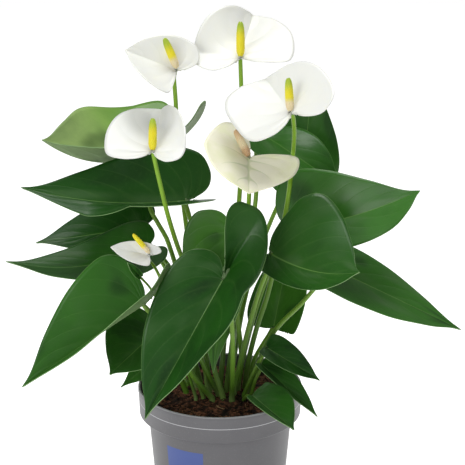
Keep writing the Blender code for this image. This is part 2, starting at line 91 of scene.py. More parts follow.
room = bpy.data.worlds.new("room")
room.use_nodes = True
room.node_tree.nodes["Background"].inputs["Color"].default_value = (1.0, 1.0, 1.0, 1.0)
room.node_tree.nodes["Background"].inputs["Strength"].default_value = ROOM_LIGHT
scene.world = room


def hang_lamp(name, place, power):
    """A square soft lamp aimed at the middle of the plant."""
    light = bpy.data.lights.new(name, "AREA")
    light.energy = power
    light.size = LAMP_SIZE
    lamp = bpy.data.objects.new(name, light)
    lamp.location = place
    aim = Vector(PLANT_MIDDLE) - Vector(place)
    lamp.rotation_euler = aim.to_track_quat("-Z", "Y").to_euler()
    scene.collection.objects.link(lamp)


hang_lamp("top_lamp", (0.1, 0.25, 1.6), 15.0)
hang_lamp("front_lamp", (-0.9, -1.3, 0.9), 12.0)


def add(tree, kind, inputs=None, **settings):
    """Add a node. An input takes a value, or the output that feeds it."""
    node = tree.nodes.new(kind)
    for name, value in settings.items():
        setattr(node, name, value)
    for key, value in (inputs or {}).items():
        socket = node.inputs[key]
        if isinstance(value, bpy.types.NodeSocket):
            tree.links.new(value, socket)
        else:
            socket.default_value = value
    return node


def finish(name, roughness, **sockets):
    """A material, its tree and its shader, whose own sockets take the values."""
    material = bpy.data.materials.new(name)
    material.use_nodes = True
    shader = material.node_tree.nodes["Principled BSDF"]
    shader.inputs["Roughness"].default_value = roughness
    for socket, value in sockets.items():
        shader.inputs[socket.replace("_", " ")].default_value = value
    return material, material.node_tree, shader


floor_paint, _, _ = finish(
    "floor_paint", 0.9,
    Base_Color=(0.93, 0.93, 0.93, 1.0), Emission_Color=(1.0, 1.0, 1.0, 1.0), Emission_Strength=FLOOR_GLOW,
)
floor_mesh = bpy.data.meshes.new("floor")
half = FLOOR_SIZE / 2
corners = [(-half, -half, 0.0), (half, -half, 0.0), (half, half, 0.0), (-half, half, 0.0)]
floor_mesh.from_pydata(corners, [], [(0, 1, 2, 3)])
floor_mesh.materials.append(floor_paint)
floor = bpy.data.objects.new("floor", floor_mesh)
scene.collection.objects.link(floor)


# Pot
#
# A grower's pot, injection moulded in grey plastic: one thin tapered wall with a
# deeper collar round the rim and drain holes in the floor. The collar carries one
# thin printed line, and the body a plain blue label.

MM = 0.001
POT_HEIGHT = 116.0 * MM
RIM_RADIUS = 65.0 * MM
COLLAR_HEIGHT = 22.5 * MM
COLLAR_TAPER = 1.0 * MM
SHOULDER_RADIUS = 57.0 * MM
BASE_RADIUS = 49.0 * MM
WALL = 1.8 * MM
FLOOR = 2.4 * MM
ROUND = 0.8 * MM
RECESS = 1.2 * MM
RECESS_INSET = 6.0 * MM
FOOT_INSET = 4.0 * MM
POT_SIDES = 160
POT_SHARP = 35
WALL_STEPS = 14
RIM_STEPS = 6
DRAIN_HOLES = 6
DRAIN_RADIUS = 5.0 * MM
DRAIN_CIRCLE = 36.0 * MM
DRAIN_SIDES = 32
LEDGE = POT_HEIGHT - COLLAR_HEIGHT
LIP_DEPTH = 0.3 * MM
LIP_FOOT = POT_HEIGHT - 4.5 * MM
LIP_TOP = POT_HEIGHT - 3.6 * MM
PRINT_LINE = (POT_HEIGHT - 10.6 * MM, POT_HEIGHT - 10.1 * MM)
LABEL_CENTRE = -30.5
LABEL_HALF = 17.0
LABEL_TOP = 80.5 * MM
LABEL_FOOT = 54.5 * MM


def object_place(tree):
    """Where a point lies on the object, in metres."""
    return add(tree, "ShaderNodeTexCoord").outputs["Object"]


def split(tree, vector):
    return add(tree, "ShaderNodeSeparateXYZ", {0: vector}).outputs


def noise_value(tree, vector, scale, detail=3.0):
    """Smooth random numbers from 0 to 1 over a surface."""
    inputs = {"Vector": vector, "Scale": scale, "Detail": detail}
    return add(tree, "ShaderNodeTexNoise", inputs).outputs["Fac"]


def number(tree, operation, *values):
    return add(tree, "ShaderNodeMath", dict(enumerate(values)), operation=operation).outputs[0]


def times(tree, *values):
    return number(tree, "MULTIPLY", *values)


def between(tree, value, low, high):
    """1 where a value lies between two others, else 0."""
    return times(tree, number(tree, "GREATER_THAN", value, low), number(tree, "LESS_THAN", value, high))


def rise(tree, value, start, end, low=0.0, high=1.0):
    """Go smoothly from low to high as the value goes from start to end."""
    limits = {"Value": value, "From Min": start, "From Max": end, "To Min": low, "To Max": high}
    return add(tree, "ShaderNodeMapRange", limits, interpolation_type="SMOOTHSTEP").outputs["Result"]


def tint(tree, share, first, second):
    """Mix two colours, each a red, green and blue or the output that gives it."""
    first, second = [(*end, 1.0) if isinstance(end, tuple) else end for end in (first, second)]
    return add(tree, "ShaderNodeMix", {0: share, 6: first, 7: second}, data_type="RGBA").outputs[2]


def cover(tree, shader, colour, height, strength, depth):
    """Give a finish its colour, and its fine relief from a height."""
    tree.links.new(colour, shader.inputs["Base Color"])
    relief = add(tree, "ShaderNodeBump", {"Height": height, "Strength": strength, "Distance": depth})
    tree.links.new(relief.outputs["Normal"], shader.inputs["Normal"])


def add_piece(name, mesh, node):
    """A finished piece that rides with the part and stands for one solid."""
    piece = bpy.data.objects.new(name, mesh)
    scene.collection.objects.link(piece)
    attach(piece, "root")
    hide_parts(node)
    return piece


def moulded_grey():
    """Satin grey with fine speckle, a paler rim, the printed line and the label."""
    material, tree, shader = finish("moulded_grey", 0.42)
    place = object_place(tree)
    x, y, z = split(tree, place)
    speckle = noise_value(tree, place, 900.0)
    cloud = noise_value(tree, place, 14.0)
    grey = tint(tree, rise(tree, cloud, 0.3, 0.7), (0.098, 0.096, 0.103), (0.124, 0.122, 0.130))
    grey = tint(tree, rise(tree, speckle, 0.58, 0.72, 0.0, 0.25), grey, (0.20, 0.20, 0.21))
    edge = rise(tree, z, POT_HEIGHT - 1.4 * MM, POT_HEIGHT - 0.4 * MM, 0.0, 0.75)
    grey = tint(tree, edge, grey, (0.34, 0.34, 0.35))
    radius = number(tree, "SQRT", number(tree, "ADD", times(tree, x, x), times(tree, y, y)))
    on_rim = number(tree, "GREATER_THAN", radius, RIM_RADIUS - COLLAR_TAPER - LIP_DEPTH)
    grey = tint(tree, times(tree, between(tree, z, *PRINT_LINE), on_rim), grey, (0.46, 0.46, 0.48))
    bearing = number(tree, "DEGREES", number(tree, "ARCTAN2", x, times(tree, y, -1.0)))
    aside = number(tree, "ABSOLUTE", number(tree, "SUBTRACT", bearing, LABEL_CENTRE))
    in_front = number(tree, "LESS_THAN", aside, LABEL_HALF)
    outside = number(tree, "GREATER_THAN", radius, BASE_RADIUS)
    label = times(tree, times(tree, in_front, outside), between(tree, z, LABEL_FOOT, LABEL_TOP))
    grey = tint(tree, label, grey, (0.050, 0.085, 0.28))
    tree.links.new(rise(tree, cloud, 0.2, 0.8, 0.36, 0.5), shader.inputs["Roughness"])
    cover(tree, shader, grey, speckle, 0.25, 0.06 * MM)
    return material


def pot_wall():
    """The wall's section, from the middle of the base out and back in."""
    profile = [(0.0, RECESS), (BASE_RADIUS - RECESS_INSET, RECESS), (BASE_RADIUS - FOOT_INSET, 0.0)]
    profile.append((BASE_RADIUS - ROUND, 0.0))
    for step in range(WALL_STEPS + 1):
        share = step / WALL_STEPS
        radius = BASE_RADIUS + (SHOULDER_RADIUS - BASE_RADIUS) * share
        profile.append((radius, ROUND + (LEDGE - 2 * ROUND) * share))
    profile += [
        (SHOULDER_RADIUS + ROUND, LEDGE),
        (RIM_RADIUS - COLLAR_TAPER - ROUND, LEDGE),
        (RIM_RADIUS - COLLAR_TAPER, LEDGE + ROUND),
        (RIM_RADIUS - LIP_DEPTH, LIP_FOOT),
        (RIM_RADIUS, LIP_TOP),
    ]
    for step in range(RIM_STEPS + 1):
        turn = pi * step / RIM_STEPS
        centre = RIM_RADIUS - WALL / 2
        profile.append((centre + WALL / 2 * cos(turn), POT_HEIGHT - WALL / 2 + WALL / 2 * sin(turn)))
    profile += [
        (RIM_RADIUS - COLLAR_TAPER - WALL, LEDGE + WALL + ROUND),
        (RIM_RADIUS - COLLAR_TAPER - WALL - ROUND, LEDGE + WALL),
        (SHOULDER_RADIUS - WALL, LEDGE + WALL - ROUND),
        (BASE_RADIUS - WALL, FLOOR),
        (0.0, FLOOR),
    ]
    return profile


def turned(profile, sides):
    """Turn a closed (radius, height) profile round Z."""
    shape = bmesh.new()
    corners = [shape.verts.new((radius, 0.0, height)) for radius, height in profile]
    rim = [shape.edges.new(pair) for pair in zip(corners, corners[1:] + corners[:1])]
    upright = {"axis": (0.0, 0.0, 1.0), "cent": (0.0, 0.0, 0.0)}
    bmesh.ops.spin(shape, geom=corners + rim, angle=2 * pi, steps=sides, use_merge=True, **upright)
    bmesh.ops.remove_doubles(shape, verts=shape.verts, dist=0.01 * MM)
    bmesh.ops.recalc_face_normals(shape, faces=shape.faces)
    return shape


def to_mesh(name, shape, smooth_angle, *materials):
    """A mesh shaded smooth, but sharp where its faces meet at a larger angle."""
    mesh = bpy.data.meshes.new(name)
    shape.to_mesh(mesh)
    shape.free()
    mesh.shade_smooth()
    mesh.set_sharp_from_angle(angle=radians(smooth_angle))
    for material in materials:
        mesh.materials.append(material)
    return mesh


def drain_cutters():
    """One round cutter for each hole in the floor."""
    group = bpy.data.collections.new("drain_cutters")
    for hole in range(DRAIN_HOLES):
        angle = 2 * pi * hole / DRAIN_HOLES
        middle = Matrix.Translation((DRAIN_CIRCLE * cos(angle), DRAIN_CIRCLE * sin(angle), 0.0))
        width = {"segments": DRAIN_SIDES, "radius1": DRAIN_RADIUS, "radius2": DRAIN_RADIUS}
        shape = bmesh.new()
        bmesh.ops.create_cone(shape, cap_ends=True, depth=4 * FLOOR, matrix=middle, **width)
        mesh = bpy.data.meshes.new("drain")
        shape.to_mesh(mesh)
        shape.free()
        group.objects.link(bpy.data.objects.new("drain", mesh))
    return group


def plain_mesh(thing):
    """The mesh that an object's modifiers make, with the object taken away."""
    scene.collection.objects.link(thing)
    graph = bpy.context.evaluated_depsgraph_get()
    mesh = bpy.data.meshes.new_from_object(thing.evaluated_get(graph), depsgraph=graph)
    bpy.data.objects.remove(thing)
    return mesh


blank_mesh = to_mesh("pot_blank", turned(pot_wall(), POT_SIDES), POT_SHARP, moulded_grey())
blank = bpy.data.objects.new("pot_blank", blank_mesh)
drilling = blank.modifiers.new("drains", "BOOLEAN")
drilling.operation = "DIFFERENCE"
drilling.operand_type = "COLLECTION"
drilling.collection = drain_cutters()
pot_mesh = plain_mesh(blank)
for drain in list(bpy.data.collections["drain_cutters"].objects):
    bpy.data.objects.remove(drain)
add_piece("grower_pot", pot_mesh, "pot")


# Potting mix
#
# Dark peat and coir with bark crumbs, reddish coir fibres and a few pale straws.
# It fills the pot to a little under the rim and rises in a low mound.

SOIL_RADIUS = 62.6 * MM
SOIL_EDGE = 105.0 * MM
SOIL_MOUND = 4.0 * MM
SOIL_LUMP = 1.2 * MM
SOIL_GRAIN = 1.7 * MM
SOIL_SIDES = 180
SOIL_RINGS = 56
SOIL_CLEARANCE = 0.4 * MM
GRAINS_PER_METRE = 210.0

# Pieces of each litter on a square metre, its least and greatest sizes in
# millimetres, and how far it stays off the wall. Fibres and straws are bent
# threads of one thinness.
CRUMBS = 128000.0
CRUMB_SIZES = ((0.5, 0.4, 0.3), (3.2, 2.3, 1.4))
CRUMB_INSET = 2.5 * MM
CRUMB_ROUGHNESS = 2.2 * MM
FIBRES = 60000.0
FIBRE_SIZES = ((2.0, 2.0, 3.0), (7.0, 6.0, 9.0))
FIBRE_INSET = 8.0 * MM
STRAWS = 1100.0
STRAW_SIZES = ((6.0, 6.0, 10.0), (11.0, 9.0, 14.0))
STRAW_INSET = 13.0 * MM
THREAD_RADIUS = 0.035
THREAD_SWEEP = 1.5


def new_tree(name, **inputs):
    """A node tree with a geometry input, named inputs and a geometry output."""
    tree = bpy.data.node_groups.new(name, "GeometryNodeTree")
    tree.interface.new_socket("Geometry", in_out="INPUT", socket_type="NodeSocketGeometry")
    for label, kind in inputs.items():
        tree.interface.new_socket(label.replace("_", " "), in_out="INPUT", socket_type="NodeSocket" + kind)
    tree.interface.new_socket("Geometry", in_out="OUTPUT", socket_type="NodeSocketGeometry")
    return tree, add(tree, "NodeGroupInput").outputs


def build(tree, kind, **inputs):
    """Add a geometry node and give its first output."""
    named = {label.replace("_", " "): value for label, value in inputs.items()}
    return add(tree, "GeometryNode" + kind, named).outputs[0]


def join(tree, *parts):
    """Several geometries as one."""
    whole = add(tree, "GeometryNodeJoinGeometry")
    for part in parts:
        tree.links.new(part, whole.inputs[0])
    return whole.outputs[0]


def close_tree(tree, whole):
    """Turn what a tree made into plain geometry and hand it out."""
    real = build(tree, "RealizeInstances", Geometry=whole)
    add(tree, "NodeGroupOutput", {"Geometry": real}, is_active_output=True)
    return tree


def grow(tree, start, **inputs):
    """Run a tree on an object's data and keep the plain mesh that it makes."""
    thing = bpy.data.objects.new(tree.name, start)
    growth = thing.modifiers.new(tree.name, "NODES")
    growth.node_group = tree
    for item in tree.interface.items_tree:
        if item.in_out == "INPUT" and item.name.replace(" ", "_") in inputs:
            growth[item.identifier] = inputs[item.name.replace(" ", "_")]
    return plain_mesh(thing)


def vector_step(tree, operation, *values, **inputs):
    return add(tree, "ShaderNodeVectorMath", {**dict(enumerate(values)), **inputs}, operation=operation)


def random_vector(tree, low, high, seed):
    inputs = {0: low, 1: high, "Seed": seed}
    return add(tree, "FunctionNodeRandomValue", inputs, data_type="FLOAT_VECTOR").outputs[0]


def scatter(tree, ground, shape, density, seed, sizes, tip, reach):
    """Drop copies of a shape on the mix as far out as reach, turned at random and
    up to tip radians from level. Two sizes in millimetres bound theirs."""
    level = vector_step(tree, "MULTIPLY", build(tree, "InputPosition"), (1.0, 1.0, 0.0)).outputs[0]
    radius = vector_step(tree, "LENGTH", level).outputs["Value"]
    within = number(tree, "LESS_THAN", radius, reach)
    laid_on = {"Mesh": ground, "Selection": within, "Density": density, "Seed": seed}
    spots = build(tree, "DistributePointsOnFaces", **laid_on)
    turns = random_vector(tree, (-tip, -tip, 0.0), (tip, tip, 2 * pi), seed)
    small, large = [tuple(side * MM for side in size) for size in sizes]
    scale = random_vector(tree, small, large, seed)
    return build(tree, "InstanceOnPoints", Points=spots, Instance=shape, Rotation=turns, Scale=scale)


def litter_tree():
    """Crumbs, fibres and straws over the top of the mix."""
    finishes = {"Crumb_finish": "Material", "Fibre_finish": "Material", "Straw_finish": "Material"}
    tree, given = new_tree("litter", Crumbs="Float", Fibres="Float", Straws="Float", Seed="Int", **finishes)
    ground = given["Geometry"]
    crumb = build(tree, "MeshIcoSphere", Radius=1.0, Subdivisions=2)
    reach = SOIL_RADIUS - CRUMB_INSET
    crumbs = scatter(tree, ground, crumb, given["Crumbs"], given["Seed"], CRUMB_SIZES, 0.6, reach)
    crumbs = build(tree, "RealizeInstances", Geometry=crumbs)
    rough = add(tree, "ShaderNodeTexNoise", {"Scale": 700.0, "Detail": 2.0}).outputs["Color"]
    rough = vector_step(tree, "SUBTRACT", rough, (0.5, 0.5, 0.5)).outputs[0]
    shift = vector_step(tree, "SCALE", rough, Scale=CRUMB_ROUGHNESS).outputs[0]
    crumbs = build(tree, "SetPosition", Geometry=crumbs, Offset=shift)
    crumbs = build(tree, "SetMaterial", Geometry=crumbs, Material=given["Crumb finish"])
    bent = build(tree, "CurveArc", Resolution=7, Radius=1.0, Sweep_Angle=THREAD_SWEEP)
    thread = build(tree, "CurvePrimitiveCircle", Resolution=3, Radius=THREAD_RADIUS)
    hair = build(tree, "CurveToMesh", Curve=bent, Profile_Curve=thread, Fill_Caps=True)
    seed = number(tree, "ADD", given["Seed"], 7.0)
    reach = SOIL_RADIUS - FIBRE_INSET
    fibres = scatter(tree, ground, hair, given["Fibres"], seed, FIBRE_SIZES, 0.35, reach)
    fibres = build(tree, "SetMaterial", Geometry=fibres, Material=given["Fibre finish"])
    seed = number(tree, "ADD", given["Seed"], 19.0)
    reach = SOIL_RADIUS - STRAW_INSET
    straws = scatter(tree, ground, hair, given["Straws"], seed, STRAW_SIZES, 0.3, reach)
    straws = build(tree, "SetMaterial", Geometry=straws, Material=given["Straw finish"])
    return close_tree(tree, join(tree, crumbs, fibres, straws))


def earth(name, dark, light, roughness):
    """Matt, grainy brown, mottled between two colours."""
    material, tree, shader = finish(name, roughness, Specular_IOR_Level=0.25)
    place = object_place(tree)
    patches = noise_value(tree, place, 160.0)
    grain = noise_value(tree, place, 900.0)
    brown = tint(tree, rise(tree, patches, 0.35, 0.68), dark, light)
    brown = tint(tree, rise(tree, grain, 0.55, 0.7, 0.0, 0.5), brown, (0.006, 0.004, 0.003))
    cover(tree, shader, brown, grain, 0.8, 0.5 * MM)
    return material


def around(radius, sides):
    """Points round a circle, each with its angle."""
    angles = [2 * pi * side / sides for side in range(sides)]
    return [(radius * cos(angle), radius * sin(angle), angle) for angle in angles]


def soil_height(radius, angle):
    """Top of the mix: a low mound with soft lumps, level at the wall."""
    inward = 1 - radius / SOIL_RADIUS
    lumps = sin(3 * angle + 40 * inward) + 0.6 * sin(5 * angle - 23 * inward)
    return SOIL_EDGE + SOIL_MOUND * sin(pi / 2 * inward) + SOIL_LUMP * lumps * inward * (1 - inward) * 2


def soil_top(shape):
    """Grainy rings over the mound. They are returned from the wall inward."""
    rings = []
    for inward in range(SOIL_RINGS):
        radius = SOIL_RADIUS * (1 - inward / SOIL_RINGS)
        ring = []
        for x, y, angle in around(radius, SOIL_SIDES):
            place = Vector((x, y, soil_height(radius, angle)))
            if inward:
                place.z += SOIL_GRAIN * noise.fractal(place * GRAINS_PER_METRE, 1.0, 2.0, 4)
            ring.append(shape.verts.new(place))
        rings.append(ring)
    middle = shape.verts.new((0.0, 0.0, SOIL_EDGE + SOIL_MOUND))
    for side in range(SOIL_SIDES):
        shape.faces.new((rings[-1][side], rings[-1][(side + 1) % SOIL_SIDES], middle))
    join_rings(shape, rings)
    return rings


def join_rings(shape, rings):
    """Faces between rings of the same number of points."""
    for lower, upper in zip(rings, rings[1:]):
        for side in range(len(lower)):
            after = (side + 1) % len(lower)
            shape.faces.new((lower[side], lower[after], upper[after], upper[side]))


def soil_mesh():
    """The mix as one closed lump, its litter set on top."""
    shape = bmesh.new()
    soil_top(shape)
    ground = bpy.data.meshes.new("mix_top")
    shape.to_mesh(ground)
    shape.free()
    finishes = {
        "Crumb_finish": earth("bark_crumb", (0.012, 0.006, 0.004), (0.19, 0.078, 0.040), 0.85),
        "Fibre_finish": earth("coir_fibre", (0.10, 0.036, 0.016), (0.38, 0.17, 0.085), 0.8),
        "Straw_finish": earth("straw", (0.30, 0.19, 0.09), (0.52, 0.38, 0.22), 0.7),
    }
    mesh = grow(litter_tree(), ground, Crumbs=CRUMBS, Fibres=FIBRES, Straws=STRAWS, Seed=5, **finishes)
    shape = bmesh.new()
    rings = soil_top(shape)[:1]
    for radius, height in (
        (RIM_RADIUS - COLLAR_TAPER - WALL - SOIL_CLEARANCE, LEDGE + WALL + 0.5 * MM),
        (SHOULDER_RADIUS - WALL - SOIL_CLEARANCE, LEDGE + WALL + 0.3 * MM),
        (BASE_RADIUS - WALL - SOIL_CLEARANCE, FLOOR + 0.3 * MM),
    ):
        rings.append([shape.verts.new((x, y, height)) for x, y, _ in around(radius, SOIL_SIDES)])
    join_rings(shape, rings[::-1])
    shape.faces.new(rings[-1][::-1])
    for face in shape.faces:
        face.material_index = len(mesh.materials)
    shape.from_mesh(mesh)
    mesh.materials.append(earth("peat", (0.010, 0.006, 0.004), (0.07, 0.032, 0.018), 0.95))
    shape.to_mesh(mesh)
    shape.free()
    return mesh


add_piece("potting_mix", soil_mesh(), "soil")


# Leaves
#
# Heart-shaped leathery blades, glossy above and dull grey-green below. Veins fan
# from the stalk into the lobes and leave the midrib toward the margin, which is a
# thin pale line. The midrib stands out below.

LEAF_THICKNESS = 0.8 * MM
RIB_THICKNESS = 2.4 * MM
RIB_REACH = 2.6 * MM
HINGE_REACH = 2.5 * MM
MARGIN_SHARE = 0.55
OUTLINE_STEPS = 8
BLADE_SHARP = 80
FAN_SHARE = 0.34
VEIN_LEAN = 1.8
COLUMN_LEAN = 1.25
VEIN_SWEEP = 0.16
RIB_LINE = (0.3 * MM, 1.0 * MM)
EDGE_LINE = (0.2 * MM, 0.6 * MM)
TIP_LINE = 0.15
FAN_STREAKS = 7.0
FAN_SHIFT = 31.0
QUILT_LEVEL = 0.64
QUILT_REACH = 1.06
QUILT_EASE = 0.6
SWELLS_PER_METRE = 34.0
FULL_SIZE = 40.0 * MM

# Outline from the notch round one lobe to the tip. The first number runs along
# the midrib, in lobe lengths behind the stalk and blade lengths ahead of it, and
# the second runs across, in half widths.
LEAF_OUTLINE = (
    (0.0, 0.0),
    (-0.62, 0.11),
    (-0.94, 0.28),
    (-0.97, 0.54),
    (-0.62, 0.84),
    (0.08, 1.0),
    (0.36, 0.86),
    (0.66, 0.50),
    (0.88, 0.14),
    (1.0, 0.0),
)


def mm(point):
    """A point given in millimetres."""
    return Vector(point) * MM


def smooth_curve(points, steps):
    """Points along a Catmull-Rom curve, steps to each span."""
    ends = [points[0] * 2 - points[1]] + list(points) + [points[-1] * 2 - points[-2]]
    curve = []
    for before, start, end, after in zip(ends, ends[1:], ends[2:], ends[3:]):
        for step in range(steps):
            t = step / steps
            curve.append(
                0.5
                * (
                    start * 2
                    + (end - before) * t
                    + (before * 2 - start * 5 + end * 4 - after) * t * t
                    + (start * 3 - before - end * 3 + after) * t * t * t
                )
            )
    curve.append(points[-1].copy())
    return curve


def reaches(curve):
    """The distance along a curve to each of its points."""
    reach = [0.0]
    for start, end in zip(curve, curve[1:]):
        reach.append(reach[-1] + (end - start).length)
    return reach


def evenly_spaced(curve, count):
    """Count points at equal distances along a curve, its ends kept."""
    reach = reaches(curve)
    spaced = [curve[0].copy()]
    at = 0
    for order in range(1, count - 1):
        distance = reach[-1] * order / (count - 1)
        while reach[at + 1] < distance:
            at += 1
        share = (distance - reach[at]) / (reach[at + 1] - reach[at])
        spaced.append(curve[at].lerp(curve[at + 1], share))
    spaced.append(curve[-1].copy())
    return spaced


@dataclass(kw_only=True)
class Shoot:
    """One stalk and its heart-shaped blade. The stalk stands at foot in the mix,
    passes the via points, and is as thick as its two radii at the foot and the
    neck. Other pairs are for the blade's left and right half, as seen from above
    with the tip ahead. Its fold turns into tip_fold between the two shares of its
    length that fold_span gives."""

    foot: tuple
    via: tuple
    thick: tuple = (2.2, 1.6)
    base: tuple
    tip: tuple
    face: tuple
    half_width: tuple
    lobe: tuple
    fold: tuple = (15, 15)
    tip_fold: tuple = (15, 15)
    fold_span: tuple = (0.0, 1.0)
    lobe_lift: tuple = (0, 0)
    lobe_turn: tuple = (0, 0)
    lobe_open: tuple = (0, 0)
    bow: float = 0.0
    sickle: float = 0.0
    belly: tuple = (1.0, 1.0)
    outline: tuple = LEAF_OUTLINE
    green: float = 0.3

    def length(self):
        return (mm(self.tip) - mm(self.base)).length

    def axes(self):
        """Across, ahead and up at the stalk, from the chord and the face."""
        ahead = (mm(self.tip) - mm(self.base)).normalized()
        up = Vector(self.face)
        up = (up - ahead * up.dot(ahead)).normalized()
        return ahead.cross(up), ahead, up

    def midrib(self, along):
        """Place and axes of the midrib at a share of its length, 0 to 1."""
        across, ahead, up = self.axes()
        start = mm(self.base)
        end = mm(self.tip)
        handle = (start + end) / 2 + (up * self.bow + across * self.sickle) * 2 * self.length()
        place = start * (1 - along) ** 2 + handle * 2 * along * (1 - along) + end * along**2
        ahead = ((handle - start) * (1 - along) + (end - handle) * along).normalized()
        up = (up - ahead * up.dot(ahead)).normalized()
        return place, ahead.cross(up), ahead, up

    def behind(self, distance, half):
        """Place and axes of the bent line that carries one lobe."""
        place, across, ahead, up = self.midrib(0.0)
        bend = radians(self.lobe_lift[half]) * distance / (self.lobe[half] * MM)
        if not bend:
            return place - ahead * distance, across, ahead, up
        radius = distance / bend
        place = place - ahead * radius * sin(bend) + up * radius * (1 - cos(bend))
        return place, across, ahead * cos(bend) - up * sin(bend), up * cos(bend) + ahead * sin(bend)

    def outline_points(self, half, count):
        """Flat outline of one half, in metres along and across."""
        points = []
        for along, across in self.outline:
            if along > 0:
                along = self.length() * along ** self.belly[half]
            else:
                along = self.lobe[half] * MM * along
            point = Vector((along, across * self.half_width[half] * MM))
            if along < 0:
                point.rotate(Matrix.Rotation(radians(self.lobe_turn[half]), 2))
            points.append(point)
        return evenly_spaced(smooth_curve(points, OUTLINE_STEPS), count)

    def place(self, along, across, half):
        """Bend the flat point (along, across) of one half into space."""
        if along < 0:
            place, side, _, up = self.behind(-along, half)
            share = -along / (self.lobe[half] * MM)
            slope = radians(self.fold[half] - self.lobe_open[half] * min(share, 1.0))
        else:
            way = min(along / self.length(), 1.0)
            place, side, _, up = self.midrib(way)
            first, last = self.fold_span
            turned = min(max((way - first) / (last - first), 0.0), 1.0)
            slope = radians(self.fold[half] + (self.tip_fold[half] - self.fold[half]) * turned)
        out = side * across * cos(slope) * (1 if half else -1)
        return place + out + up * abs(across) * sin(slope)


